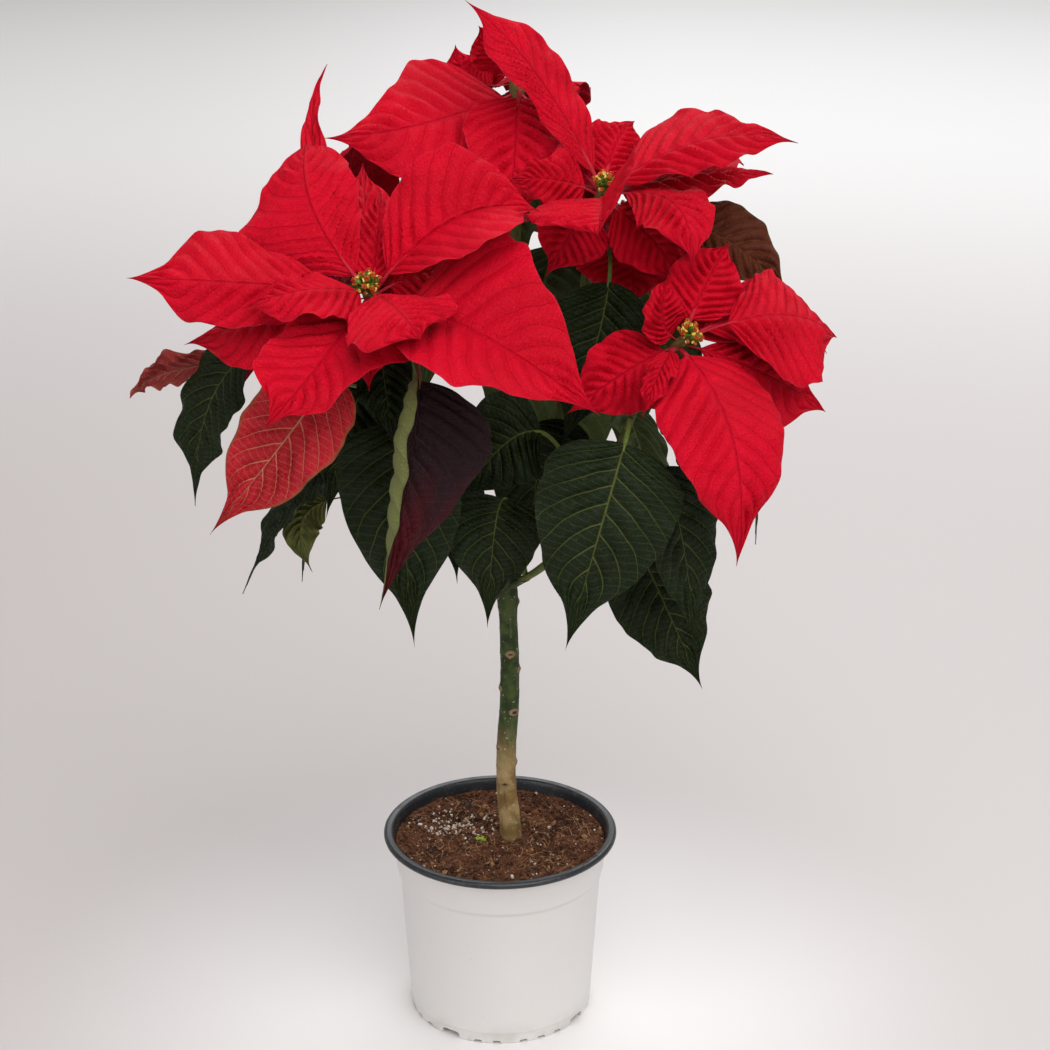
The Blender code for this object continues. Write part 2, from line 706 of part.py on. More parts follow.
def ring_bracts(head):
    """The bracts of a head that follow a rule: evenly round its axis, each ring with its tilt and length."""
    axis = direction(*head["axis"])
    up = (UP - axis * UP.dot(axis)).normalized()
    right = up.cross(axis)
    shapes = []
    for count, first, sweep, tilt, length, width in head["rings"]:
        for i in range(count):
            angle = math.radians(first + sweep * i / count)
            lean = math.radians(tilt + (3 if i % 2 else -3))
            reach = length * (1.0 if i % 2 else 0.93)
            round_axis = right * math.cos(angle) + up * math.sin(angle)
            way = axis * math.cos(lean) + round_axis * math.sin(lean)
            middle = way * reach / 2 + axis * reach * RING_ARCH
            shape = bract(way * reach, middle, width, head["axis"], columns=2)
            shapes.append(shape)
    return shapes


def placed_leaves(head):
    return head["leaves"]


def skirt_leaves(head):
    """The leaves of a stem that follow a rule: up the stem by turns to both sides, hanging outside it."""
    count, spread, reach, drop, width = head["skirt"]
    shapes = []
    for i in range(count):
        at = SKIRT_FROM + SKIRT_SPAN * (i + 0.5) / count
        azimuth = head["fork"][0] + spread * ((i * GOLDEN + 0.3) % 1 - 0.5)
        out = direction(azimuth, 0)
        knee = on_path(head["path"], at) + out * reach + UP * SKIRT_RISE
        shape = leaf(at, knee, knee + out * SKIRT_OUT - UP * drop, width, (azimuth, 20))
        shapes.append(shape)
    return tuple(shapes)


def rooted(shape, head):
    """The bract set on its head's knob, the lower down the more it leans away from the head's axis."""
    axis = direction(*head["axis"])
    lean = math.degrees(axis.angle(shape["tip"]))
    low, high = ROOT_DEPTH
    depth = low + (high - low) * min(1.0, max(0.0, (lean - 40) / 60))
    shape["root"] = Vector(head["hub"]) - axis * depth
    shape["middle"] = Vector(head["hub"]) + shape["middle"]
    shape["tip"] = Vector(head["hub"]) + shape["tip"]
    return shape


def knob(head):
    axis = direction(*head["axis"])
    hub = Vector(head["hub"])
    points = [hub - axis * KNOB_LENGTH, hub - axis * KNOB_LENGTH * 0.4, hub]
    return tube(points, [KNOB_R * 0.8, KNOB_R, KNOB_R * 0.7], 8)


def cups(head):
    """The cyathia: a bunch of little cups on a common base, each with its lip."""
    axis = direction(*head["axis"])
    hub = Vector(head["hub"]) + axis * GAP
    up = (UP - axis * UP.dot(axis)).normalized()
    right = up.cross(axis)
    pieces = [tube([hub, hub + axis * 2.5], [KNOB_R * 0.7, KNOB_R * 0.9], 8)]
    for i in range(CUPS):
        ring = CUP_RINGS[0 if i == 0 else (1 if i < INNER_CUPS else 2)]
        angle = i * CUP_TURN
        out = (right * math.cos(angle) + up * math.sin(angle)) * ring
        foot = hub + axis * 1.2 + out * 0.35
        way = (axis * 8 + out * 0.9).normalized()
        points = [foot, foot + out * 0.55 + way * 2, foot + out * 0.65 + way * CUP_LENGTH]
        pieces.append(tube(points, [CUP_R * 0.6, CUP_R, CUP_R * 0.75], CUP_SIDES))
    return pieces


def plant():
    """The leafy stems, knobs and blades. The blades go in by turns, each bent clear of those before it."""
    placed = []
    stems, knobs = {}, {}
    for name, head in HEADS.items():
        points = stem_path(head)
        taper = (STEM_R[1] - STEM_R[0]) / (len(points) - 1)
        radii = [STEM_R[0] + taper * i for i in range(len(points))]
        head["path"] = points
        stems[name] = tube(points, radii, STEM_SIDES)
        knobs[name] = knob(head)
        placed.append(("stem_" + name, tree_of(stems[name]), None))
        placed.append(("bracts_" + name, tree_of(knobs[name]), None))
        for cup in cups(head):
            placed.append(("cyathia_" + name, tree_of(cup), None))
            cup.free()
    wanted = []
    for name, head in HEADS.items():
        wanted += [("bracts_" + name, rooted(shape, head)) for shape in head["bracts"]]
    for leaves_of in (placed_leaves, skirt_leaves):
        for name, head in HEADS.items():
            for shape in leaves_of(head):
                shape["root"] = on_path(head["path"], shape["at"])
                wanted.append(("stem_" + name, shape))
        if leaves_of is placed_leaves:
            for name, head in HEADS.items():
                wanted += [("bracts_" + name, rooted(shape, head)) for shape in ring_bracts(head)]
    blades = {}
    for node, shape in wanted:
        clear = bent_clear(shape, node, placed)
        if clear:
            blades.setdefault(node, []).append(clear)
    return stems, knobs, blades


def build():
    for thing in list(bpy.data.objects):
        bpy.data.objects.remove(thing)
    pot()
    soil()
    trunk()
    stems, knobs, blades = plant()
    green = make_material("leaf green", (0.02, 0.06, 0.02), 0.5)
    red = make_material("bract red", (0.62, 0.01, 0.02), 0.6)
    lime = make_material("cyathium green", (0.18, 0.28, 0.03), 0.45)
    for name, head in HEADS.items():
        kinds = ("stem_" + name, stems[name], green), ("bracts_" + name, knobs[name], red)
        for node, core, material in kinds:
            pieces = [add_object(node, core)]
            for shape in blades.get(node, []):
                pieces.append(add_object("blade", blade_solid(shape)))
            united(node, pieces, material)
        united("cyathia_" + name, [add_object("cup", cup) for cup in cups(head)], lime)


build()
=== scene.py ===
# A potted poinsettia grown as a small standard, dressed for close views.
# The fine pot, soil, trunk, leaves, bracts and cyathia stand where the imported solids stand.
# Sizes are in millimetres until finishPiece brings a mesh to metres.

import json
import math
import random

import bmesh
import bpy
from mathutils import Matrix, Quaternion, Vector, noise
from mathutils.bvhtree import BVHTree

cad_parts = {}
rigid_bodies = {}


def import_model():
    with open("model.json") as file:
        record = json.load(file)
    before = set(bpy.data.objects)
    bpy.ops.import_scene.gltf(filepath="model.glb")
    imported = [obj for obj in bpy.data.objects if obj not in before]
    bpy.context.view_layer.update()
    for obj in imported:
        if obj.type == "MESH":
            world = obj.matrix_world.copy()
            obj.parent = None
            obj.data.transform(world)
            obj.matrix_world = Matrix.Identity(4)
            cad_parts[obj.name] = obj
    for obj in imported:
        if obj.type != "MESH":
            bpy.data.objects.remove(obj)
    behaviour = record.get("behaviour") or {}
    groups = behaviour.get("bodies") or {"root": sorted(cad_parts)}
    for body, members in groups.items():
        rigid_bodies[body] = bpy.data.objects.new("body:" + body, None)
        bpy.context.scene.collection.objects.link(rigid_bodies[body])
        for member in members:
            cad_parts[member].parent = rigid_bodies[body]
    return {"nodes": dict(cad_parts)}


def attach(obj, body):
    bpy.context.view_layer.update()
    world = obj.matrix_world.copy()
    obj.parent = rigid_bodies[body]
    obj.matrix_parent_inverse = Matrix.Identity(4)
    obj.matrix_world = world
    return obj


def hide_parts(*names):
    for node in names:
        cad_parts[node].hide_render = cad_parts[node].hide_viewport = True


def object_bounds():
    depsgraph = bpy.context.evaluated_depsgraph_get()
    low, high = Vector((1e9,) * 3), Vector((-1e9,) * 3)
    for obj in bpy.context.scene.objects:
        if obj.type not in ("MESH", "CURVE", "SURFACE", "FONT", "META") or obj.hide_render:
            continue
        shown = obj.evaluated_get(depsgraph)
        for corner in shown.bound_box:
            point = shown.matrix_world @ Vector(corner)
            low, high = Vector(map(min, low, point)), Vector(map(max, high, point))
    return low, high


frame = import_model()
cadBox = [[float(value) for value in corner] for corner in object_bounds()]
print("packed model loaded:", len(frame["nodes"]), "nodes")

mm = 0.001
gap = 0.3
up = Vector((0, 0, 1))


def linear(red, green, blue):
    # a colour as seen on screen, 0 to 255, as the shader wants it
    parts = []
    for value in (red, green, blue):
        share = value / 255
        parts.append(share / 12.92 if share <= 0.04045 else ((share + 0.055) / 1.055) ** 2.4)
    return (*parts, 1.0)


def maths(operation, reflected=False):
    # a method that adds one Math node; the reflected form feeds its own socket last
    def add(wire, *others):
        values = (*others, wire) if reflected else (wire, *others)
        return wire.look.node("ShaderNodeMath", {"operation": operation}, dict(enumerate(values)))
    return add


class Wire:
    # a socket's value in a material; maths on it adds the Math nodes
    __add__, __radd__ = maths("ADD"), maths("ADD", True)
    __sub__, __rsub__ = maths("SUBTRACT"), maths("SUBTRACT", True)
    __mul__, __rmul__ = maths("MULTIPLY"), maths("MULTIPLY", True)
    __abs__ = maths("ABSOLUTE")
    larger, above, fraction = maths("MAXIMUM"), maths("GREATER_THAN"), maths("FRACT")

    def __init__(self, look, socket):
        self.look = look
        self.socket = socket

    def rise(self, low, high):
        # 0 below low, 1 above high, smooth between
        settings = {"interpolation_type": "SMOOTHSTEP"}
        inputs = {"Value": self, "From Min": low, "From Max": high}
        return self.look.node("ShaderNodeMapRange", settings, inputs)


class Look:
    # a material, and the one way of adding a node to it; colours are given as seen on screen
    def __init__(self, name, rough, shine):
        self.material = bpy.data.materials.new(name)
        self.material.use_nodes = True
        self.tree = self.material.node_tree
        self.shader = self.tree.nodes["Principled BSDF"]
        self.set("Roughness", rough)
        self.set("Specular IOR Level", shine)
        self.spot = self.node("ShaderNodeTexCoord", output="Object")

    def node(self, kind, settings=None, inputs=None, output=0):
        made = self.tree.nodes.new(kind)
        for name, value in (settings or {}).items():
            setattr(made, name, value)
        for name, value in (inputs or {}).items():
            self.feed(made.inputs[name], value)
        return Wire(self, made.outputs[output])

    def feed(self, socket, value):
        if isinstance(value, Wire):
            self.tree.links.new(value.socket, socket)
        else:
            socket.default_value = linear(*value) if socket.type == "RGBA" else value

    def set(self, socket, value):
        self.feed(self.shader.inputs[socket], value)

    def blend(self, factor, first, second, how="MIX"):
        settings = {"data_type": "RGBA", "blend_type": how}
        return self.node("ShaderNodeMix", settings, {0: factor, 6: first, 7: second}, output=2)

    def part(self, vector, axis):
        return self.node("ShaderNodeSeparateXYZ", {}, {0: vector}, output=axis)

    def stored(self, name, output="Fac"):
        return self.node("ShaderNodeAttribute", {"attribute_name": name}, output=output)

    def mottle(self, scale, detail=3.0, rough=0.5, place=None, **more):
        inputs = {"Vector": place or self.spot, "Scale": scale, "Detail": detail, "Roughness": rough}
        return self.node("ShaderNodeTexNoise", {}, {**inputs, **more})

    def cells(self, scale, feature):
        return self.node("ShaderNodeTexVoronoi", {"feature": feature}, {"Vector": self.spot, "Scale": scale})

    def relief(self, height, strength, distance):
        inputs = {"Strength": strength, "Distance": distance, "Height": height}
        self.set("Normal", self.node("ShaderNodeBump", {}, inputs))


def flecked(name, rough, shine, patches, ends, colours, grain, relief):
    # a look of two colours in patches, with fine grain as its relief
    look = Look(name, rough, shine)
    patch = look.mottle(*patches)
    look.set("Base Color", look.blend(patch.rise(*ends) if ends else patch, *colours))
    look.relief(look.mottle(*grain), *relief)
    return look


def facing(azimuth, elevation):
    # a unit vector, degrees from +X towards +Y and up from the floor
    a, e = math.radians(azimuth), math.radians(elevation)
    return Vector((math.cos(a) * math.cos(e), math.sin(a) * math.cos(e), math.sin(e)))


def squareTo(axis):
    # right and upward, both square to the axis
    upward = (up - axis * up.dot(axis)).normalized()
    return upward.cross(axis), upward


def onCircle(angle):
    return Vector((math.cos(angle), math.sin(angle), 0))


def bump(distance, width):
    # 1 at no distance, falling softly to 0 past the width
    return math.exp(-((distance / width) ** 2))


def meshFrom(name, bm, looks=()):
    mesh = bpy.data.meshes.new(name)
    bm.to_mesh(mesh)
    bm.free()
    for look in looks:
        mesh.materials.append(look.material)
    return mesh


def show(name, data):
    thing = bpy.data.objects.new(name, data)
    bpy.context.scene.collection.objects.link(thing)
    return thing


def finishPiece(name, bm, looks, sharp, node=None):
    # brings the mesh to metres, keeps it in the solids' box and hangs it on the plant
    bmesh.ops.scale(bm, vec=(mm, mm, mm), verts=bm.verts)
    low, high = cadBox
    for vert in bm.verts:
        vert.co = [min(max(vert.co[i], low[i]), high[i]) for i in range(3)]
    bmesh.ops.recalc_face_normals(bm, faces=bm.faces)
    mesh = meshFrom(name, bm, looks)
    mesh.shade_smooth()
    mesh.set_sharp_from_angle(angle=math.radians(sharp))
    piece = show(name, mesh)
    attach(piece, "root")
    if node:
        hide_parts(node)


def turnsAlong(points):
    # a turn for each point of a line that takes Z along it, with no needless roll
    turns = []
    turn, before = None, None
    for index in range(len(points)):
        ahead = (points[min(index + 1, len(points) - 1)] - points[max(index - 1, 0)]).normalized()
        turn = before.rotation_difference(ahead) @ turn if turn else ahead.to_track_quat("Z", "Y")
        before = ahead
        turns.append(turn)
    return turns


def paint(faces, material):
    for face in faces:
        face.material_index = material


def wrapTube(bm, spine, sides, material=0):
    # a round bar through (point, radius), closed at both ends; returns its vertices
    points = [spine[0][0]] + [point for point, _ in spine] + [spine[-1][0]]
    radii = [0.0] + [radius for _, radius in spine] + [0.0]
    turns = turnsAlong(points)
    old = set(bm.faces)
    grid = bmesh.ops.create_grid(bm, x_segments=len(points) - 1, y_segments=sides, size=1)["verts"]
    for vert in grid:
        row = round((vert.co.x + 1) / 2 * (len(points) - 1))
        vert.co = points[row] + turns[row] @ (onCircle((vert.co.y + 1) * math.pi) * radii[row])
    paint({face for vert in grid for face in vert.link_faces} - old, material)
    bmesh.ops.remove_doubles(bm, verts=grid, dist=1e-4)
    return [vert for vert in grid if vert.is_valid]


# camera, at the photograph's own angle
cameraSpec = dict(place=(0.016, -1.3, 0.8195), tip=69.48, lens=77.6, sensor=36.0, farthest=60.0)


def makeCamera():
    data = bpy.data.cameras.new("camera")
    data.lens = cameraSpec["lens"]
    data.sensor_width = cameraSpec["sensor"]
    data.clip_end = cameraSpec["farthest"]
    camera = show("camera", data)
    camera.location = cameraSpec["place"]
    camera.rotation_euler = (math.radians(cameraSpec["tip"]), 0, 0)
    bpy.context.scene.camera = camera


# lights: name, place, aimed at, size, watts
lightSpec = dict(
    ambient=0.33,
    lamps=(
        ("key", (0.9, -1.9, 3.1), (0, 0, 0.45), 4.0, 104.0),
        ("fill", (-1.9, -1.8, 1.5), (0, 0, 0.4), 2.0, 12.0),
        ("back", (0.4, 3.4, 3.6), (0, 2.2, 0.0), 4.0, 100.0),
    ),
)


def makeLights():
    for name, place, target, size, watts in lightSpec["lamps"]:
        data = bpy.data.lights.new(name, "AREA")
        data.shape = "DISK"
        data.size = size
        data.energy = watts
        lamp = show(name, data)
        lamp.location = place
        lamp.rotation_euler = (Vector(target) - Vector(place)).to_track_quat("-Z", "Y").to_euler()
    world = bpy.data.worlds.new("studio")
    world.use_nodes = True
    world.node_tree.nodes["Background"].inputs["Color"].default_value = (1, 1, 1, 1)
    world.node_tree.nodes["Background"].inputs["Strength"].default_value = lightSpec["ambient"]
    bpy.context.scene.world = world
    bpy.context.scene.view_settings.view_transform = "Standard"


# floor: its tones near the pot, further off and far behind are painted light and shade, bright near the pot,
# darker further off and bright again far behind; and the painted shade that deepens to the left
floorSpec = dict(
    size=12.0, near=(244, 241, 240), middle=(214, 208, 207), far=(246, 245, 245), shade=(222, 218, 218),
    speck=(200, 196, 194), nearEnds=(0.1, 0.35), farEnds=(0.9, 3.2), shadeEnds=(-0.8, 0.4),
)


def makeFloor():
    spec = floorSpec
    look = Look("floor paper", 0.9, 0.5)
    away = look.node("ShaderNodeVectorMath", {"operation": "LENGTH"}, {0: look.spot}, output="Value")
    # painted light and shade: the floor's colour is bright near the pot, darker further off and bright again
    # far behind
    colour = look.blend(away.rise(*spec["nearEnds"]), spec["near"], spec["middle"])
    colour = look.blend(away.rise(*spec["farEnds"]), colour, spec["far"])
    # painted shade: the floor's colour is darkened towards the left, away from the key light
    paintedShade = 1 - look.part(look.spot, "X").rise(*spec["shadeEnds"])
    colour = look.blend(paintedShade * 0.6, colour, spec["shade"], "MULTIPLY")
    grain = look.mottle(900)
    look.set("Base Color", look.blend(0.04 * grain, colour, spec["speck"]))
    look.relief(grain, 0.05, 0.0002)
    bm = bmesh.new()
    bmesh.ops.create_grid(bm, x_segments=1, y_segments=1, size=spec["size"])
    floor = show("floor", meshFrom("floor", bm, [look]))


# pot: white outside, black inside and at the rolled lip
potSpec = dict(
    sides=144, wall=1.3, top=125.0, lipUnder=121.0, stepZ=98.0, collarTop=69.5, collar=66.5, body=65.0,
    foot=58.5, footBand=7.5, floorZ=6.0, boss=16.0, lip=75.0, lipInner=69.0,
    holes=8, holeR=4.0, holeRing=44.0, notchDepth=9.0, bigNotches=4, bigNotch=(13.0, 4.5), bigStart=-123.0,
    smallNotch=(5.0, 2.0), smallAt=(19, 31, 48, 60, 72),
)


def spun(profile, sides):
    # a closed outline of (radius, height), turned about the Z axis
    bm = bmesh.new()
    corners = [bm.verts.new((radius, 0, height)) for radius, height in profile]
    edges = [bm.edges.new(pair) for pair in zip(corners, corners[1:] + corners[:1])]
    bmesh.ops.spin(
        bm, geom=corners + edges, cent=(0, 0, 0), axis=(0, 0, 1), angle=math.tau, steps=sides, use_merge=True
    )
    bmesh.ops.remove_doubles(bm, verts=bm.verts, dist=1e-4)
    bmesh.ops.dissolve_degenerate(bm, edges=bm.edges, dist=1e-4)
    return bm


def looseThing(name, bm):
    bmesh.ops.recalc_face_normals(bm, faces=bm.faces)
    return show(name, meshFrom(name, bm))


def potLooks():
    white = Look("pot white plastic", 0.42, 0.45)
    cloud = white.mottle(14, 4)
    speck = white.mottle(260, 2).rise(0.7, 0.78)
    colour = white.blend(cloud, (224, 221, 218), (232, 229, 226))
    height = white.part(white.spot, "Z")
    # a patchy darkening of the white towards the bottom of the pot
    bottomDarkening = (1 - height.rise(0.0, 0.02)) * white.mottle(60, 4).rise(0.42, 0.7)
    colour = white.blend(bottomDarkening * 0.3, colour, (168, 156, 142))
    white.set("Base Color", white.blend(speck * 0.18, colour, (190, 184, 176)))
    white.set("Roughness", 0.36 + 0.14 * cloud)
    white.relief(white.mottle(1500, 2) + 0.4 * white.mottle(45, 2), 0.12, 0.0004)
    black = Look("pot black plastic", 0.35, 0.5)
    dust = black.mottle(130, 5).rise(0.5, 0.75)
    scuff = black.mottle(700, 3).rise(0.55, 0.7)
    colour = black.blend(dust, (37, 40, 45), (62, 62, 64))
    black.set("Base Color", black.blend(scuff * 0.25, colour, (120, 112, 104)))
    black.set("Roughness", 0.3 + 0.25 * dust)
    black.relief(black.mottle(1200, 2), 0.1, 0.0003)
    return white, black


def potProfile():
    # radius and height round the wall: under the floor, up the outside, over the lip and down the inside
    names = "wall lipUnder top lip lipInner boss floorZ foot footBand body stepZ collar collarTop".split()
    wall, under, top, lip, inner, boss, floorZ, foot, band, body, step, collar, collarTop = (
        potSpec[name] for name in names
    )
    return (
        (boss, 0.0), (boss + 2.6, floorZ - wall - 0.5), (boss + 3.4, floorZ - wall),
        (foot - 6.4, floorZ - wall), (foot - 5.6, floorZ - wall - 0.5), (foot - 3.6, 0.3), (foot - 3.2, 0.0),
        (foot - 0.5, 0.0), (foot, 0.5), (foot + 0.3, band - 0.6), (foot + 0.5, band),
        (foot + 0.9, band + 0.5), (foot + 1.3, 16.0), (body - 0.2, step - 2.4), (body + 0.1, step - 1.0),
        (body + 0.8, step - 0.3), (collar - 0.1, step + 0.6), (collar + 0.2, step + 2.0),
        (collarTop - 0.2, under - 0.6), (collarTop + 0.4, under + 0.1), (lip - 1.9, under - 0.2),
        (lip - 0.9, under + 0.1), (lip - 0.3, under + 0.7), (lip, under + 1.7), (lip - 0.1, under + 2.5),
        (lip - 0.8, top - 0.7), (lip - 1.5, top - 0.2), (lip - 2.4, top), (lip - 3.1, top - 0.25),
        (inner + 1.8, top - 0.25), (inner + 1.0, top - 0.4), (inner + 0.2, top - 1.2),
        (inner - 0.2, top - 2.4),
        (collarTop - wall, under), (collar - wall + 0.1, step + 1.6), (body - wall, step - 1.8),
        (foot - wall, floorZ + 2), (foot - wall - 2, floorZ), (boss + 1.6, floorZ), (boss - 1.4, wall),
        (0.0, wall), (0.0, 0.0),
    )


def drainCutter(index):
    spec = potSpec
    bm = bmesh.new()
    bmesh.ops.create_cone(
        bm, cap_ends=True, segments=28, radius1=spec["holeR"], radius2=spec["holeR"], depth=4 * spec["floorZ"]
    )
    spot = facing(index * 360 / spec["holes"], 0) * spec["holeRing"] + up * spec["floorZ"]
    bmesh.ops.translate(bm, verts=bm.verts, vec=spot)
    return looseThing("drain", bm)


def notchCutter(turn, width, height):
    # a block with rounded tops, across the foot ring
    bm = bmesh.new()
    bmesh.ops.create_cube(bm, size=1)
    bmesh.ops.scale(bm, vec=(potSpec["notchDepth"], width, 2 * height), verts=bm.verts)
    tops = [edge for edge in bm.edges if all(vert.co.z > 0 for vert in edge.verts)]
    bmesh.ops.bevel(
        bm, geom=[edge for edge in tops if abs(edge.verts[0].co.x - edge.verts[1].co.x) > 1],
        offset=height * 0.45, affect="EDGES", segments=4, profile=0.5, material=-1
    )
    bmesh.ops.translate(bm, verts=bm.verts, vec=(potSpec["foot"] - 1.5, 0, 0))
    matrix = Quaternion(up, math.radians(turn)).to_matrix()
    bmesh.ops.rotate(bm, verts=bm.verts, cent=(0, 0, 0), matrix=matrix)
    return looseThing("notch", bm)


def makePot():
    spec = potSpec
    body = looseThing("pot shell", spun(potProfile(), spec["sides"]))
    cutters = bpy.data.collections.new("pot cutters")
    for i in range(spec["holes"]):
        cutters.objects.link(drainCutter(i))
    for i in range(spec["bigNotches"]):
        for offset in (0,) + spec["smallAt"]:
            turn = spec["bigStart"] + i * 360 / spec["bigNotches"] + offset
            cutters.objects.link(notchCutter(turn, *spec["smallNotch" if offset else "bigNotch"]))
    cut = body.modifiers.new("cut", "BOOLEAN")
    cut.operation = "DIFFERENCE"
    cut.operand_type = "COLLECTION"
    cut.collection = cutters
    cut.solver = "EXACT"
    result = bpy.data.meshes.new_from_object(body.evaluated_get(bpy.context.evaluated_depsgraph_get()))
    bm = bmesh.new()
    bm.from_mesh(result)
    for thing in list(cutters.objects) + [body]:
        bpy.data.objects.remove(thing)
    bpy.data.collections.remove(cutters)
    # black above the underside of the lip, and on the inside above the floor
    for face in bm.faces:
        spot = face.calc_center_median()
        out = Vector((spot.x, spot.y, 0)).normalized()
        inner = face.normal.dot(out) < -0.3 or face.normal.z > 0.5
        black = spot.z > spec["lipUnder"] + 0.05 or (inner and spot.z > spec["wall"] * 0.9)
        face.material_index = 1 if black else 0
    finishPiece("potShell", bm, potLooks(), 35, "pot")
    print("pot done")


# soil: its height and lumps, and how many crumbs, perlite grains, chips and root hairs lie on it
soilSpec = dict(
    top=117.5, rough=1.2, rings=54, sides=180,
    # how many there are of each, and their sizes
    crumbs=1500, crumbSizes=(1.0, 3.4), perlite=150, perliteSizes=(0.7, 1.7),
    drift=210, driftSizes=(0.9, 1.6), chips=150, chipSizes=(1.6, 4.4),
    hairs=620, hairLengths=(4, 15), hairSteps=5, seed=11,
    # the middle and spread of the washed perlite, across and in depth
    driftX=(-30, 15), driftY=(13, 9),
    # how far lumps lie from the pot's middle and from the trunk's, and the low and raised soil at the trunk
    reach=66.0, bare=8.5, sunk=6.4, raised=14.0,
    # stones, one by one: x, y, size, kind
    stones=(
        (-20.4, 39.5, 5.5, "grey"), (-10.6, 42.4, 5.0, "brown"), (-64.4, 29.7, 4.6, "tan"),
        (-52.6, 15.7, 3.2, "white"), (-44.5, 10.2, 2.6, "white"), (-41.1, 4.8, 2.6, "white"),
        (-26.5, 18.5, 2.8, "white"), (-8.7, 7.5, 2.2, "white"), (-17.7, 6.1, 2.0, "white"),
        (23.7, -11.4, 2.8, "white"), (31.6, 11.6, 3.4, "white"), (7.9, -51.6, 3.0, "white"),
        (22.3, -35.0, 2.6, "white"), (42.5, -35.0, 1.8, "white"), (54.7, -1.8, 4.4, "brown"),
        (-38.1, -6.0, 3.2, "tan"), (-33.5, -49.1, 2.0, "white"), (23.4, 58.0, 2.6, "white"),
        (-9.6, 26.9, 2.6, "white"), (-4.8, 6.1, 2.2, "white"),
    ),
    sprout=(-12.4, -3.3), sproutLumps=7, strayHairs=(50.0, 55.0, 60.0, 63.0),
)


def soilHeight(x, y):
    # the same lumps as the solid's top, with finer crumble on them
    spec = soilSpec
    topR = potSpec["collarTop"] - potSpec["wall"] - gap - 0.6
    lumps = math.sin(0.21 * x + 1.3) * math.cos(0.17 * y - 0.4)
    lumps += 0.6 * math.sin(0.43 * x - 0.37 * y)
    inward = min(1.0, max(0.0, (topR - math.hypot(x, y)) / 12))
    height = spec["top"] + spec["rough"] * lumps * (0.3 + 0.7 * inward)
    fine = noise.noise(Vector((x, y, 3.0)) * 0.22) * 1.3 + noise.noise(Vector((x, y, 9.0)) * 0.6) * 0.9
    return height + fine * (0.25 + 0.75 * inward)


def soilLooks():
    peat = Look("peat", 0.95, 0.2)
    broad = peat.mottle(60, 5, 0.65)
    fine = peat.mottle(420, 4, 0.7)
    strands = peat.mottle(180, 4, Distortion=3.0)
    colour = peat.blend(broad.rise(0.35, 0.65), (60, 36, 25), (112, 70, 48))
    colour = peat.blend(fine.rise(0.5, 0.72) * 0.7, colour, (156, 108, 80))
    colour = peat.blend((1 - fine).rise(0.52, 0.7) * 0.85, colour, (22, 13, 10))
    peat.set("Base Color", peat.blend(strands.rise(0.58, 0.66) * 0.5, colour, (150, 110, 82)))
    peat.relief(fine + 0.8 * strands, 0.9, 0.0018)
    white = Look("perlite", 0.9, 0.25)
    stain = white.mottle(300, 4).rise(0.4, 0.7)
    white.set("Base Color", white.blend(stain, (226, 214, 200), (176, 150, 128)))
    white.relief(white.cells(1400, "F1"), 0.5, 0.0006)
    chip = Look("bark chips", 0.85, 0.25)
    grain = chip.mottle(500, 5, 0.7)
    colour = chip.blend(chip.mottle(45, 2).rise(0.4, 0.6), (112, 70, 46), (164, 124, 88))
    chip.set("Base Color", chip.blend(grain.rise(0.5, 0.7) * 0.6, colour, (58, 36, 26)))
    chip.relief(grain, 0.6, 0.0008)
    stone = flecked(
        "grey pebble", 0.7, 0.35, (250, 5), (0.4, 0.65), ((84, 82, 72), (48, 46, 42)), (900,), (0.4, 0.0005)
    )
    green = flecked(
        "green sprout", 0.5, 0.4, (500,), None, ((118, 150, 20), (182, 206, 40)), (1200,), (0.4, 0.0004)
    )
    return peat, white, chip, stone, green


def fromTrunk(x, y):
    foot = trunkSpec["line"][1]
    return math.hypot(x - foot[1], y - foot[2])


def soilBody():
    # the root ball inside the pot's wall, its top in lumps and drawn down round the trunk
    spec = soilSpec
    wall = potSpec["wall"] + gap
    topR = potSpec["collarTop"] - wall - 0.6
    foot, body, collar, boss = potSpec["foot"], potSpec["body"], potSpec["collar"], potSpec["boss"]
    floorZ, step = potSpec["floorZ"], potSpec["stepZ"]
    profile = [
        (0.0, wall), (boss - 1.75, wall), (boss + 1.25, floorZ + gap), (foot - wall - 2, floorZ + gap),
        (foot - wall, floorZ + 2 + gap), (body - wall, step - 1.8), (collar - wall, step + 1.5),
        (topR, spec["top"] - 1.5),
    ]
    profile += [(topR * (1 - i / spec["rings"]), spec["top"]) for i in range(spec["rings"] + 1)]
    bm = spun(profile, spec["sides"])
    for vert in bm.verts:
        x, y, z = vert.co
        if z > spec["top"] - 0.5:
            vert.co.z = soilHeight(x, y)
            near = fromTrunk(x, y)
            if near < spec["sunk"]:
                vert.co.z -= 3.0
            elif near < spec["raised"]:
                vert.co.z += 1.1 * (spec["raised"] - near) / 8
    return bm


def scatter(draw):
    while True:
        x, y = draw.uniform(-67, 67), draw.uniform(-67, 67)
        if math.hypot(x, y) < soilSpec["reach"] and fromTrunk(x, y) > soilSpec["bare"]:
            return x, y


def lump(bm, draw, x, y, size, material, flat=0.7, lift=0.1):
    axis = Vector([draw.uniform(-1, 1) for _ in range(3)]).normalized()
    turn = Quaternion(axis, draw.uniform(0, 6)).to_matrix()
    stretch = Matrix.Diagonal([size * draw.uniform(0.7, 1.25) for _ in range(2)] + [size * flat])
    place = Matrix.Translation((x, y, soilHeight(x, y) + size * lift))
    matrix = place @ (turn @ stretch @ turn.transposed()).to_4x4()
    made = bmesh.ops.create_icosphere(bm, subdivisions=1, radius=0.5, matrix=matrix)["verts"]
    for vert in made:
        vert.co += Vector([draw.uniform(-0.13, 0.13) * size for _ in range(3)])
    paint({face for vert in made for face in vert.link_faces}, material)


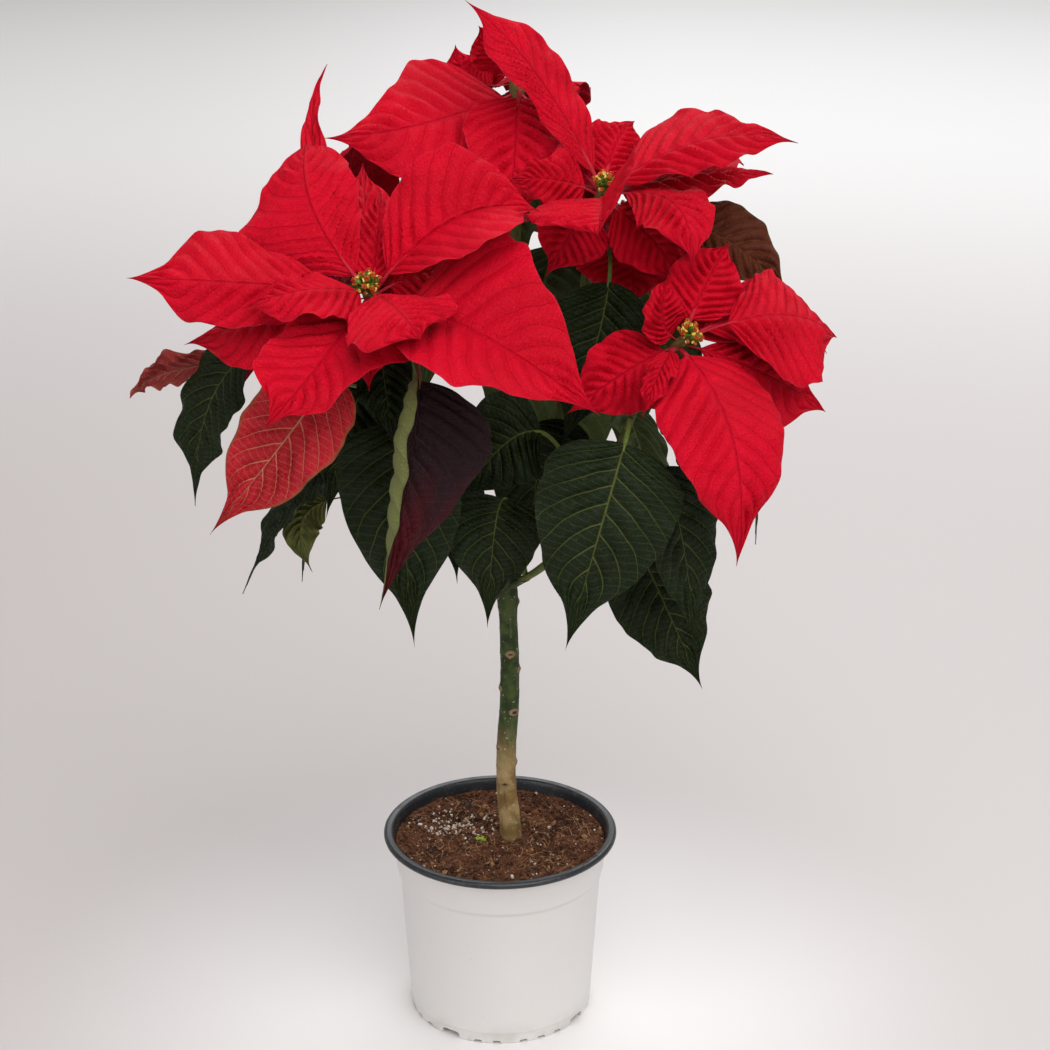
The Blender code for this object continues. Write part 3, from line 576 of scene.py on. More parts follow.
def rootHairs(draw):
    spec = soilSpec
    hairs = bmesh.new()
    steps = spec["hairSteps"]
    for number in range(spec["hairs"]):
        x, y = scatter(draw)
        course = draw.uniform(0, math.tau)
        bend = draw.uniform(-0.35, 0.35)
        length = draw.uniform(*spec["hairLengths"])
        spine = []
        for step in range(steps + 1):
            lift = 0.5 + 1.1 * math.sin(math.pi * step / steps) * draw.uniform(0.3, 1)
            spine.append((Vector((x, y, soilHeight(x, y) + lift)), 0.16 if step in (0, steps) else 0.26))
            course += bend
            x += math.cos(course) * length / steps
            y += math.sin(course) * length / steps
            if math.hypot(x, y) > spec["reach"] or fromTrunk(x, y) < 8:
                break
        if len(spine) > 3:
            wrapTube(hairs, spine, 3, 0 if number % 3 else 1)
    # a few root hairs lie over the lip at the front right
    for start in spec["strayHairs"]:
        spine = []
        for step in range(9):
            share = step / 8
            angle = math.radians(-44 + (start - 55) * 1.2 + 6 * math.sin(share * 5 + start))
            away = 60 + share * 13.6
            height = 119.5 + 6.0 * min(1.0, share * 1.8) + 0.6 * math.sin(share * 9 + start)
            spine.append((Vector((math.cos(angle) * away, math.sin(angle) * away, height)), 0.22))
        wrapTube(hairs, spine, 4, 0)
    return hairs


def makeSoil():
    spec = soilSpec
    peat, white, chip, stone, green = soilLooks()
    finishPiece("peat", soilBody(), [peat], 60, "soil")
    draw = random.Random(spec["seed"])
    crumbs, grains = bmesh.new(), bmesh.new()
    for _ in range(spec["crumbs"]):
        lump(crumbs, draw, *scatter(draw), draw.uniform(*spec["crumbSizes"]) ** 1.1, 0)
    for _ in range(spec["perlite"]):
        lump(grains, draw, *scatter(draw), draw.uniform(*spec["perliteSizes"]), 0, lift=0.3)
    # most of the perlite has washed together, left of the trunk
    for _ in range(spec["drift"]):
        x, y = draw.gauss(*spec["driftX"]), draw.gauss(*spec["driftY"])
        if math.hypot(x, y) < 65 and fromTrunk(x, y) > 9:
            lump(grains, draw, x, y, draw.uniform(*spec["driftSizes"]) ** 2, 0, lift=0.3)
    kinds = {"white": 0, "tan": 1, "brown": 1, "grey": 2}
    for x, y, size, kind in spec["stones"]:
        lump(grains, draw, x, y, size, kinds[kind], flat=0.8, lift=0.25)
    for _ in range(spec["chips"]):
        lump(grains, draw, *scatter(draw), draw.uniform(*spec["chipSizes"]), 1, flat=0.35, lift=0.2)
    for _ in range(spec["sproutLumps"]):
        x, y = spec["sprout"]
        x, y = x + draw.uniform(-2.6, 2.6), y + draw.uniform(-1.2, 1.2)
        lump(grains, draw, x, y, draw.uniform(2.2, 3.6), 3, lift=0.45)
    finishPiece("peatCrumbs", crumbs, [peat], 60)
    finishPiece("perliteAndChips", grains, [white, chip, stone, green], 50)
    finishPiece("rootHairs", rootHairs(draw), [chip, peat], 60)
    print("soil done")


# trunk: height, middle x, middle y, radius; scars are height, direction in degrees, size
trunkSpec = dict(
    line=(
        (62, 7.0, 1.0, 6.6), (112, 7.0, 1.0, 6.8), (130, 6.2, 0.5, 6.8), (157, 4.0, 0.0, 6.3),
        (186, 4.4, 0.0, 6.2), (214, 6.2, 0.0, 6.1), (242, 6.4, 0.0, 5.9), (270, 5.6, 0.0, 5.7),
        (288, 5.0, 0.0, 6.6), (299, 5.0, 0.0, 5.0),
    ),
    scars=(
        (249, -85, 3.6), (237, -15, 3.4), (224, 195, 3.4), (209, -60, 3.9),
        (183, 220, 3.4), (172, -5, 3.2), (159, -95, 3.6), (282, 10, 3.2),
    ),
    sides=40, rows=150, forkZ=292.0, stub=15.0, stubR=4.6, stubSides=20,
)


def trunkLook():
    look = Look("bark", 0.7, 0.3)
    stretch = look.node("ShaderNodeMapping", {}, {"Vector": look.spot, "Scale": (1.0, 1.0, 0.18)})
    streaks = look.mottle(420, 5, 0.65, stretch)
    patches = look.mottle(90, 4)
    green = look.blend(patches.rise(0.4, 0.65), (36, 52, 20), (72, 86, 40))
    tan = look.blend(patches.rise(0.38, 0.62), (134, 106, 62), (180, 152, 104))
    woody = 1 - (look.part(look.spot, "Z") + 0.05 * (patches - 0.5)).rise(0.165, 0.205)
    scar = look.stored("scar")
    colour = look.blend(woody, green, tan)
    layers = (
        (streaks.rise(0.52, 0.72) * 0.55, (64, 48, 32)),
        (look.mottle(160, 3, 0.5, stretch).rise(0.55, 0.75) * 0.2, (176, 168, 140)),
        (look.mottle(520, 1).rise(0.68, 0.74) * 0.7, (206, 192, 160)),
        (scar.rise(0.25, 0.7), (150, 122, 92)),
        (scar.rise(0.86, 0.97), (58, 42, 32)),
    )
    for factor, tone in layers:
        colour = look.blend(factor, colour, tone)
    look.set("Base Color", colour)
    look.relief(streaks + 0.5 * patches + 0.4 * scar, 0.55, 0.0008)
    return look


def smoothLine(line, share):
    # a soft curve through the trunk's rows
    place = share * (len(line) - 1)
    i = min(int(place), len(line) - 2)
    t = place - i
    rows = [line[max(i - 1, 0)], line[i], line[i + 1], line[min(i + 2, len(line) - 1)]]
    values = []
    for a, b, c, d in zip(*rows):
        square, cube = 2 * a - 5 * b + 4 * c - d, 3 * b - a - 3 * c + d
        values.append(0.5 * (2 * b + (c - a) * t + square * t * t + cube * t**3))
    return values


def trunkScars(line):
    # each scar: the trunk's middle at its height, its own middle, the way it faces and its size
    scars = []
    for height, azimuth, size in trunkSpec["scars"]:
        below, above = [pair for pair in zip(line, line[1:]) if pair[0][0] <= height <= pair[1][0]][0]
        share = (height - below[0]) / (above[0] - below[0])
        x, y, radius = (below[i] + (above[i] - below[i]) * share for i in (1, 2, 3))
        middle = Vector((x, y, height))
        scars.append((middle, middle + facing(azimuth, 0) * radius, facing(azimuth, 0), size))
    return scars


def makeTrunk():
    spec = trunkSpec
    bm = bmesh.new()
    scarMark = bm.verts.layers.float.new("scar")
    spine = []
    for row in range(spec["rows"] + 1):
        z, x, y, radius = smoothLine(spec["line"], row / spec["rows"])
        spine.append((Vector((x, y, z)), radius))
    scars = trunkScars(spec["line"])
    for vert in wrapTube(bm, spine, spec["sides"]):
        push = noise.noise(vert.co * 0.09) * 0.25 + noise.noise(vert.co * 0.35) * 0.12
        z = vert.co.z
        out = Vector((vert.co.x - 5, vert.co.y, 0)).normalized()
        for middle, spot, way, size in scars:
            off = vert.co - spot
            off.z *= 1.35
            reach = off.length / size
            if reach < 1.6:
                # a raised cushion with a pit in its middle
                cushion, pit = math.exp(-((reach * 1.25) ** 2)), math.exp(-((reach * 3.2) ** 2))
                push += size * 0.42 * cushion - size * 0.22 * pit
                vert[scarMark] = max(vert[scarMark], math.exp(-((reach * 1.1) ** 4)))
            # the ring of a leaf's node, round the trunk and rising away from the scar
            push += 0.22 * bump(z - middle.z + 1.5 * (1 - out.dot(way)), 0.9)
        vert.co += out * push
    for head in heads.values():
        start, way = forkPoint(*head["fork"])
        stub = []
        for step in range(13):
            share = step / 12
            radius = spec["stubR"] + 0.9 * (1 - share) ** 2 + 0.35 * bump(share - 0.93, 0.06)
            stub.append((start + way * spec["stub"] * share, radius))
        wrapTube(bm, stub, spec["stubSides"])
    finishPiece("barkTrunk", bm, [trunkLook()], 60, "trunk")
    print("trunk done")


# stems and blades: the solids' own measures first, then the fine shape's
stemSpec = dict(
    radii=(4.2, 3.2), sides=7, steps=5, straight=2.5, knobR=4.6, knobLength=16.0,
    barSides=8, fineSides=18, fineSteps=34, knobSides=20, knobSteps=8,
    skin=(96, 104, 56), knobSkin=(112, 104, 56),
)
bladeSpec = dict(
    stalkHalf=1.4, stalkShare=0.45, thick=0.8, rows=(0.0, 0.12, 0.33, 0.6, 0.85, 1.0), margin=1.3,
    rootShare=0.14, rootDepth=(2.5, 11.0), swings=(4, 8, 12, 17, 23, 30), shrinks=(1.0, 0.88, 0.76),
    ringArch=0.1, skirtFrom=0.35, skirtSpan=0.5, skirtRise=14.0, skirtOut=30.0, golden=0.618,
    waves=2.0, farWaves=1.9,
    fineRows=60, fineColumns=22, fineThick=0.5, stalkR=1.35, stalkSteps=30, stalkSides=9, ribR=0.3,
    thread=0.4, tipFrom=0.7, ruffle=1.9, ruffles=4.3, quilt=1.5, crease=1.6, drift=2.6, roll=2.7,
)
veinSpec = dict(count=10.0, rake=0.2, arch=0.05)

# each blade's own colours: upper face, lower face, veins, thin edge and stalk, then how much the veins show
# above and below, and how far out the edge colour starts
skins = dict(
    bract=((220, 0, 38), (190, 26, 54), (150, 0, 26), (216, 60, 84), (196, 40, 58), 0.16, 0.3, 0.965),
    leaf=((16, 32, 12), (70, 86, 42), (126, 132, 70), (64, 74, 36), (92, 104, 46), 0.5, 0.5, 0.975),
    blushing=((194, 12, 40), (170, 70, 60), (222, 150, 118), (126, 90, 50), (222, 150, 118), 0.85, 0.8, 0.9),
    russet=((96, 44, 26), (120, 74, 50), (150, 96, 60), (92, 66, 36), (150, 96, 60), 0.5, 0.6, 0.9),
    rosyUnder=((120, 30, 34), (196, 74, 72), (220, 160, 140), (190, 96, 80), (220, 160, 140), 0.5, 0.7, 0.9),
    plum=((40, 20, 26), (116, 122, 70), (96, 70, 62), (60, 44, 36), (128, 92, 60), 0.35, 0.5, 0.96),
    lime=((66, 82, 42), (66, 84, 42), (150, 158, 100), (80, 92, 50), (150, 158, 100), 0.6, 0.6, 0.95),
    olive=((60, 66, 34), (112, 118, 66), (150, 140, 90), (150, 96, 60), (150, 140, 90), 0.5, 0.5, 0.9),
)
# the plum leaf reddens towards its tip
plumTip = Vector(linear(104, 14, 26))


def blade(own, width, look, more):
    return dict(own, width=width, look=facing(*look), tilt=0, lobes=(), skew=0.68, full=0.95) | more


def bract(tip, middle, width, look, **more):
    # a bract: its tip and the middle of its midrib, both from the head's middle, and where it faces
    own = dict(tip=Vector(tip), middle=Vector(middle), fold=-8, cup=-0.08, wave=2.5, stalk=11, columns=4)
    return blade(dict(own, skin="bract"), width, look, more)


def leaf(at, knee, tip, width, look, **more):
    # a leaf from the share `at` of its stem: its stalk ends at the knee, where the blade turns down
    own = dict(at=at, knee=Vector(knee), tip=Vector(tip), fold=8, cup=-0.1, wave=2.0, columns=2)
    return blade(dict(own, skin="leaf"), width, look, more)


# each head: its middle, the way it faces, the way its stem leaves the trunk, bracts listed one by one, rings
# of bracts (count, first angle, sweep, tilt, length, width), leaves listed one by one, and a skirt of leaves
# (count, spread, reach, drop, width)
heads = {
    "front_left": dict(
        hub=(-70, -95, 508), axis=(-100, 48), fork=(-126, 42),
        bracts=(
            bract(
                (-130, -10, 7), (-65, -13, 5), 76, (-82, 36), fold=-20, skew=1.4, full=0.8,
                lobes=((-1, 0.7, -0.4, 0.5),)
            ),
            bract(
                (-37, 65, 66), (-30, 23, 37), 54, (-100, 25), fold=-6, skew=1.2, full=0.6, point=0.93,
                lobes=((-1, 0.4, 0.9, 0.28),)
            ),
            bract((94, 25, 36), (48, 3, 37), 80, (-98, 49), fold=30, skew=0.9),
            bract(
                (126, -55, -57), (64, -37, -18), 90, (-75, 42), fold=24, stalk=26, skew=0.62, full=1.15,
                lobes=((-1, 0.36, 0.2, 0.1), (-1, 0.12, 0.65, 0.14))
            ),
            bract(
                (-56, -70, -48), (-25, -45, -23), 60, (-100, 52), fold=14, stalk=8, full=0.8,
                lobes=((1, 0.8, 0.45, 0.2), (-1, 0.12, 1.1, 0.2))
            ),
            bract((5, 50, 42), (5, 21, 24), 30, (-92, 22), fold=14, stalk=6, columns=2),
            bract((45, -55, 2), (26, -37, 9), 64, (-75, 62), skew=1.2, full=0.6, stalk=9, columns=2),
            bract((-66, -23, -17), (-32, -27, -1), 42, (-100, 65), stalk=7, columns=2),
            bract((-105, 20, -39), (-54, 0, -18), 62, (-85, 55), fold=-12, columns=2),
            bract((-28, 110, 103), (-32, 61, 57), 20, (-110, 12), fold=12, skew=0.5, columns=2),
            bract((-8, 95, 49), (-3, 45, 24), 44, (-80, 20), columns=2),
            bract((31, 95, 33), (14, 47, 17), 54, (70, 70), columns=2),
        ),
        leaves=(
            leaf(0.78, (-149, -50, 452), (-176, -62, 368), 56, (-140, 15)),
            leaf(0.86, (-92, -122, 460), (-157, -138, 379), 58, (-98, 30), full=0.8, skin="blushing"),
            leaf(0.5, (-55, -84, 420), (-48, -96, 293), 74, (-95, 15), columns=4),
            leaf(
                0.7, (-42, -114, 453), (-65, -137, 334), 66, (-50, 10), fold=32,
                lobes=((-1, 0.3, 0.4, 0.3),), skin="plum", curl=(1, 0.62)
            ),
            leaf(0.6, (-79, -50, 432), (-100, -60, 360), 52, (-115, 20)),
            leaf(0.4, (-99, -38, 384), (-155, -42, 301), 42, (-160, 25)),
            leaf(0.55, (-91, -72, 443), (-97, -80, 396), 22, (100, 10), skin="lime"),
            leaf(0.35, (-106, -28, 373), (-119, -36, 334), 26, (70, 10), skin="olive"),
        ),
    ),
    "top": dict(
        hub=(11, 55, 599), axis=(95, 66), fork=(100, 68),
        bracts=(
            bract(
                (-112, -50, -29), (-53, -30, -24), 58, (-100, 40), fold=-6, skew=0.55, full=1.1,
                lobes=((-1, 0.25, 0.7, 0.25), (-1, 0.65, 0.6, 0.2), (1, 0.3, 0.8, 0.3))
            ),
            bract((-39, 11, 15), (-28, 6, -5), 38, (-95, 15), fold=-10, columns=2),
            bract((-29, 29, 17), (-17, 13, 6), 26, (-90, 10), fold=8, columns=2),
            bract((19, -30, -33), (10, -17, -17), 34, (-90, 35), columns=2),
            bract((-14, 0, -62), (-8, -4, -30), 44, (-95, 15), columns=2),
            bract((36, -8, -44), (20, -12, -16), 46, (-80, 20), columns=2),
        ),
        rings=((3, 228, 129, 106, 104, 62), (2, 250, 90, 90, 82, 48)),
        leaves=(
            leaf(0.24, (-23, 8, 363), (-26, 4, 292), 36, (-90, 15)),
            leaf(0.3, (23, 4, 392), (15, -2, 307), 66, (-90, 15)),
        ),
        skirt=(4, 90, 48, 105, 62),
    ),
    "upper_right": dict(
        hub=(62, -10, 545), axis=(-70, 58), fork=(5, 62),
        bracts=(
            bract(
                (-80, 25, 102), (-37, 15, 59), 46, (-60, 20), fold=-12, skew=0.9,
                lobes=((-1, 0.35, -0.45, 0.4),)
            ),
            bract(
                (109, -10, 27), (54, -8, 28), 50, (-92, 60), skew=0.7,
                lobes=((-1, 0.2, 0.9, 0.3), (1, 0.25, -0.3, 0.3))
            ),
            bract((99, 20, 3), (53, 12, 5), 38, (-90, 72), columns=2),
            bract((48, -52, -35), (37, -28, -3), 48, (-62, 34), skew=0.9),
            bract((-6, -68, -13), (-3, -42, -4), 86, (-95, 60), fold=32, tilt=-32, skew=0.9, full=0.6),
            bract(
                (-55, -10, 17), (-26, -12, 13), 34, (-95, 40), fold=-10, skew=0.5, columns=2,
                lobes=((1, 0.15, 1.0, 0.15),)
            ),
            bract((21, 35, 36), (7, 18, 22), 44, (-90, 25), columns=2),
            bract((-37, 22, 39), (-19, 14, 21), 50, (-70, 10), columns=2),
            bract((13, 2, -73), (12, 8, -38), 64, (-90, 12), stalk=24, columns=2),
            bract((82, 80, 4), (52, 40, 4), 56, (60, 75), columns=2),
            bract((30, 105, 8), (16, 55, 7), 54, (90, 70), columns=2),
        ),
        leaves=(
            leaf(0.82, (64, -22, 485), (37, -42, 397), 56, (-100, 12)),
            leaf(0.75, (118, 15, 514), (174, 2, 472), 46, (-80, 30), skin="russet"),
        ),
        skirt=(3, 80, 50, 100, 60),
    ),
    "lower_right": dict(
        hub=(108, -60, 470), axis=(-52, 42), fork=(-38, 34),
        bracts=(
            bract((26, -65, -115), (22, -60, -42), 68, (-78, 20), skew=0.55, full=0.65, stalk=9, cup=-0.15),
            bract((91, -10, -9), (45, -20, 12), 84, (-70, 50), stalk=21, skew=1.1, full=0.7, cup=-0.12),
            bract((88, 18, -6), (48, 14, 15), 54, (-60, 40), skew=1.1, full=0.7),
            bract((87, 10, -36), (45, 2, -15), 60, (-70, 45), skew=1.1, columns=2),
            bract((-9, 10, 37), (-14, 0, 10), 30, (-60, 20), fold=15, stalk=8, columns=2),
            bract((-27, -44, -35), (-17, -30, -12), 18, (-110, 40), stalk=10, columns=2),
            bract((-29, -2, -45), (-21, -2, -26), 46, (-100, 25), full=0.7, columns=2),
            bract((73, 75, -21), (37, 45, -6), 56, (30, 70), columns=2),
            bract((21, 70, 15), (13, 38, 12), 46, (-90, 30), full=0.7, columns=2),
        ),
        leaves=(
            leaf(0.6, (70, -104, 414), (39, -112, 298), 82, (-90, 14), columns=4),
            leaf(0.45, (84, -52, 335), (122, -66, 253), 64, (-70, 20)),
            leaf(0.12, (3, -72, 375), (-6, -84, 300), 60, (-92, 22)),
            leaf(0.36, (16, -56, 400), (-19, -70, 346), 60, (-92, 22)),
        ),
        skirt=(2, 60, 50, 100, 60),
    ),
    "back_right": dict(
        hub=(78, 92, 505), axis=(50, 45), fork=(58, 46),
        rings=((4, 10, 360, 98, 120, 72), (4, 55, 360, 84, 106, 66), (3, 20, 360, 62, 62, 38)),
        skirt=(6, 130, 52, 110, 66),
    ),
    "back_left": dict(
        hub=(-92, 72, 490), axis=(140, 42), fork=(148, 45),
        rings=((4, 25, 360, 98, 120, 72), (4, 70, 360, 84, 106, 66), (3, 35, 360, 62, 62, 38)),
        leaves=(leaf(0.6, (-168, -10, 440), (-215, -35, 425), 34, (120, 40), skin="rosyUnder"),),
        skirt=(6, 130, 52, 110, 66),
    ),
}


# small blades that only the visual model has, in the gaps of the four heads in front; a leaf with a bract's
# skin is a bract that grows from the stem, below the head
innerBlades = {
    "top": (
        leaf(0.84, (12, 24, 580), (8, 2, 498), 62, (-90, 12), skin="bract"),
        leaf(0.88, (-14, 30, 588), (-40, 12, 522), 50, (-100, 15), skin="bract"),
        leaf(0.92, (36, 38, 592), (58, 26, 540), 46, (-75, 20), skin="bract"),
        bract((8, -26, -92), (10, -24, -42), 58, (-90, 12)),
        bract((-34, -18, -78), (-16, -18, -36), 50, (-100, 10)),
        bract((52, -10, -60), (28, -14, -24), 50, (-75, 20)),
        bract((-16, -14, 36), (-8, -12, 18), 34, (-95, 10), stalk=7),
        bract((28, 8, 32), (14, 4, 16), 34, (-85, 10), stalk=7),
    ),
    "upper_right": (
        bract((-34, -6, -52), (-18, -10, -22), 46, (-100, 20)),
        bract((-52, 22, -16), (-26, 14, -4), 48, (-95, 25)),
        bract((40, -16, -62), (22, -14, -28), 44, (-80, 10)),
    ),
    "front_left": (
        bract((64, 52, -14), (32, 30, -4), 56, (-90, 45)),
        bract((34, 70, -28), (14, 40, -12), 50, (-95, 40)),
        leaf(0.9, (-58, -102, 478), (-44, -112, 424), 34, (-85, 25)),
        bract((2, -34, -50), (0, -24, -22), 34, (-90, 35), stalk=7),
        bract((62, 24, 4), (32, 8, 6), 50, (-85, 45)),
        bract((22, -20, -44), (12, -20, -20), 40, (-90, 35)),
        bract((-52, 30, 30), (-26, 18, 18), 48, (-100, 30)),
    ),
    "lower_right": (
        bract((-50, -6, -66), (-28, -8, -30), 50, (-100, 25)),
        bract((40, -10, -58), (22, -12, -24), 46, (-75, 25)),
        bract((30, 24, 44), (14, 14, 24), 44, (-85, 20)),
    ),
}


def forkPoint(azimuth, elevation):
    last = trunkSpec["line"][-2]
    return Vector((last[1], last[2], trunkSpec["forkZ"])), facing(azimuth, elevation)


def stemPath(head, steps):
    # the middle line of a leafy stem, from the trunk's stub to the head's knob
    start, way = forkPoint(*head["fork"])
    axis = facing(*head["axis"])
    foot = start + way * (trunkSpec["stub"] + gap)
    headEnd = Vector(head["hub"]) - axis * (stemSpec["knobLength"] + gap)
    first, last = foot + way * stemSpec["straight"], headEnd - axis * stemSpec["straight"]
    reach = (last - first).length
    a, b = first + way * reach * 0.4, last - axis * reach * 0.3
    points = [foot]
    for i in range(steps + 1):
        t = i / steps
        points.append(first * (1 - t) ** 3 + a * 3 * t * (1 - t) ** 2 + b * 3 * t * t * (1 - t) + last * t**3)
    return points + [headEnd]


def onPath(points, share):
    place = share * (len(points) - 1)
    index = min(int(place), len(points) - 2)
    return points[index].lerp(points[index + 1], place - index)


def roughBar(points, radii, sides):
    # the solid's coarse bar, for finding clear places only
    bm = bmesh.new()
    rings = []
    for point, turn, radius in zip(points, turnsAlong(points), radii):
        ring = bmesh.ops.create_circle(bm, cap_ends=False, radius=radius, segments=sides)["verts"]
        bmesh.ops.rotate(bm, verts=ring, cent=(0, 0, 0), matrix=turn.to_matrix())
        bmesh.ops.translate(bm, verts=ring, vec=point)
        rings.append(ring)
    for lower, upper in zip(rings, rings[1:]):
        for i in range(sides):
            j = (i + 1) % sides
            bm.faces.new((lower[i], lower[j], upper[j], upper[i]))
    bm.faces.new(rings[0])
    bm.faces.new(rings[-1])
    return bm


def stalked(shape):
    # the shape with its bend point and the share of it that is stalk
    root, tip = shape["root"], shape["tip"]
    start = shape.get("knee", root)
    shape["across"] = (tip - start).cross(shape["look"])
    shape["bend"] = shape.get("knee", shape.get("middle")) * 2 - (root + tip) / 2
    shape["share"] = bladeSpec["stalkShare"] if "knee" in shape else shape["stalk"] / (tip - root).length
    return shape


def midrib(shape, t):
    # point, side and upward normal of the midrib at the share t of the blade's length
    root, bend, tip = shape["root"], shape["bend"], shape["tip"]
    point = root * (1 - t) ** 2 + bend * 2 * t * (1 - t) + tip * t**2
    heading = ((bend - root) * (1 - t) + (tip - bend) * t).normalized()
    side = (shape["across"] - heading * heading.dot(shape["across"])).normalized()
    return point, side, side.cross(heading)


def outlineHalf(shape, tau, v):
    # half the width at tau along the blade's flat part, on the side of v, with its lobes
    q = tau ** shape["skew"]
    half = shape["width"] / 2 * max(4 * q * (1 - q), 0) ** shape["full"]
    for sign, at, size, spread in shape["lobes"]:
        if sign * v > 0:
            half *= 1 + size * bump(tau - at, spread)
    return half


def bent(shape, tau, v):
    # the fold's angle on the side of v, and the height of the margin's broad waves
    side = 1 if v > 0 else -1
    phase = 2 * math.pi * bladeSpec["waves"] * tau + (bladeSpec["farWaves"] if v < 0 else 0)
    waves = shape["wave"] * math.sin(phase) * v * v * math.sin(math.pi * tau)
    return math.radians(shape["fold"] + shape["tilt"] * side), waves


def roughPoint(shape, t, v):
    point, side, normal = midrib(shape, t)
    share, stalkHalf = shape["share"], bladeSpec["stalkHalf"]
    tau = max(0.0, (t - share) / (1 - share))
    half = stalkHalf
    if t > share:
        half = max(outlineHalf(shape, tau, v), stalkHalf * min(1, 8 * (1 - t)))
    fold, waves = bent(shape, tau, v)
    lift = half * abs(v) * math.sin(fold) + shape["cup"] * half * v * v + waves
    place = point + side * v * half * math.cos(fold) + normal * lift
    lean = math.atan(math.tan(fold) + 2 * shape["cup"] * abs(v)) if v and half > stalkHalf else 0.0
    return place, normal * math.cos(lean) - side * math.copysign(math.sin(lean), v)


def feelers(shape):
    # two search trees of the solid's blade, slightly swollen: all of it, and without its root
    share = shape["share"]
    stops = [0.0, share * 0.55] if "knee" in shape else [0.0]
    stops += [share + (1 - share) * row for row in bladeSpec["rows"]]
    bm = bmesh.new()
    down = bm.verts.layers.float_vector.new("down")
    along = bm.verts.layers.float.new("along")
    bmesh.ops.create_grid(bm, x_segments=len(stops) - 1, y_segments=shape["columns"], size=1)
    for vert in bm.verts:
        t = stops[round((vert.co.x + 1) / 2 * (len(stops) - 1))]
        place, normal = roughPoint(shape, t, vert.co.y)
        halfThick = bladeSpec["thick"] / 2 + bladeSpec["margin"] * min(1.0, 0.1 + 3 * t * t)
        vert.co = place + normal * halfThick
        vert[down] = normal * 2 * halfThick
        vert[along] = t
    bmesh.ops.remove_doubles(bm, verts=bm.verts, dist=0.05)
    bmesh.ops.triangulate(bm, faces=bm.faces, quad_method="SHORT_EDGE", ngon_method="BEAUTY")
    under = bmesh.ops.extrude_face_region(bm, geom=bm.faces)["geom"]
    for vert in under:
        if isinstance(vert, bmesh.types.BMVert):
            vert.co -= vert[down]
    bmesh.ops.recalc_face_normals(bm, faces=bm.faces)
    bm.verts.index_update()
    points = [vert.co.copy() for vert in bm.verts]
    whole, outer = [], []
    for face in bm.faces:
        corners = [vert.index for vert in face.verts]
        whole.append(corners)
        if min(vert[along] for vert in face.verts) >= bladeSpec["rootShare"]:
            outer.append(corners)
    bm.free()
    return BVHTree.FromPolygons(points, whole), BVHTree.FromPolygons(points, outer)


def swung(shape, lift, turn, shrink):
    # the blade swung about its root, up by lift and round by turn degrees, and shortened
    reach = shape["tip"] - shape["root"]
    level = reach.cross(up)
    if level.length < 1e-6:
        level = Vector((1, 0, 0))
    swing = Quaternion(up, math.radians(turn)) @ Quaternion(level.normalized(), math.radians(lift))
    moved = dict(shape)
    moved["tip"] = shape["root"] + swing @ reach * shrink
    moved["look"] = swing @ shape["look"]
    key = "knee" if "knee" in shape else "middle"
    moved[key] = shape["root"] + swing @ (shape[key] - shape["root"]) * shrink
    moved["width"] = shape["width"] * shrink
    return stalked(moved)


def swings():
    yield 0, 0
    for size in bladeSpec["swings"]:
        for lift in (1, -1):
            yield size * lift, 0
        for turn in (1, -1):
            yield 0, size * turn
        for lift in (0.7, -0.7):
            for turn in (0.7, -0.7):
                yield size * lift, size * turn


def bentClear(shape, node, placed):
    # the blade bent as little as clears what stands already
    for shrink in bladeSpec["shrinks"]:
        for lift, turn in swings():
            trial = swung(shape, lift, turn, shrink)
            whole, outer = feelers(trial)
            for owner, theirWhole, theirOuter in placed:
                mine = outer if owner == node else whole
                theirs = theirOuter if owner == node else theirWhole
                if theirs and mine.overlap(theirs):
                    break
            else:
                placed.append((node, whole, outer))
                return trial
    return None


def ringBracts(head):
    axis = facing(*head["axis"])
    right, upward = squareTo(axis)
    shapes = []
    for count, first, sweep, tilt, length, width in head.get("rings", ()):
        for i in range(count):
            angle = math.radians(first + sweep * i / count)
            lean = math.radians(tilt + (3 if i % 2 else -3))
            reach = length * (1.0 if i % 2 else 0.93)
            roundAxis = right * math.cos(angle) + upward * math.sin(angle)
            way = axis * math.cos(lean) + roundAxis * math.sin(lean)
            middle = way * reach / 2 + axis * reach * bladeSpec["ringArch"]
            shapes.append(bract(way * reach, middle, width, head["axis"], columns=2))
    return shapes


def skirtLeaves(head):
    count, spread, reach, drop, width = head.get("skirt", (0, 0, 0, 0, 0))
    shapes = []
    for i in range(count):
        at = bladeSpec["skirtFrom"] + bladeSpec["skirtSpan"] * (i + 0.5) / count
        azimuth = head["fork"][0] + spread * ((i * bladeSpec["golden"] + 0.3) % 1 - 0.5)
        out = facing(azimuth, 0)
        knee = onPath(head["path"], at) + out * reach + up * bladeSpec["skirtRise"]
        shapes.append(leaf(at, knee, knee + out * bladeSpec["skirtOut"] - up * drop, width, (azimuth, 20)))
    return shapes


def rooted(shape, head):
    # the bract set on its head's knob, the lower down the more it leans away from the head's axis
    axis = facing(*head["axis"])
    lean = math.degrees(axis.angle(shape["tip"]))
    low, high = bladeSpec["rootDepth"]
    depth = low + (high - low) * min(1.0, max(0.0, (lean - 40) / 60))
    shape["root"] = Vector(head["hub"]) - axis * depth
    shape["middle"] = Vector(head["hub"]) + shape["middle"]
    shape["tip"] = Vector(head["hub"]) + shape["tip"]
    return shape


# cyathia: the solid's cups, and the fine cups' extra buds, glands and stamens
cupSpec = dict(
    cups=7, radius=2.0, length=6.5, sides=5, turn=2.35, rings=(0.5, 3.1, 5.5), inner=4, pad=2.5,
    buds=9, budRing=6.6, budTurn=0.7, budSizes=(0.5, 0.8), padSides=18, fineSides=14,
    stamens=5, stamenRing=0.8, stamenTop=6.9, stamenSpread=(-0.3, 0.5), anther=0.42, seed=5,
)


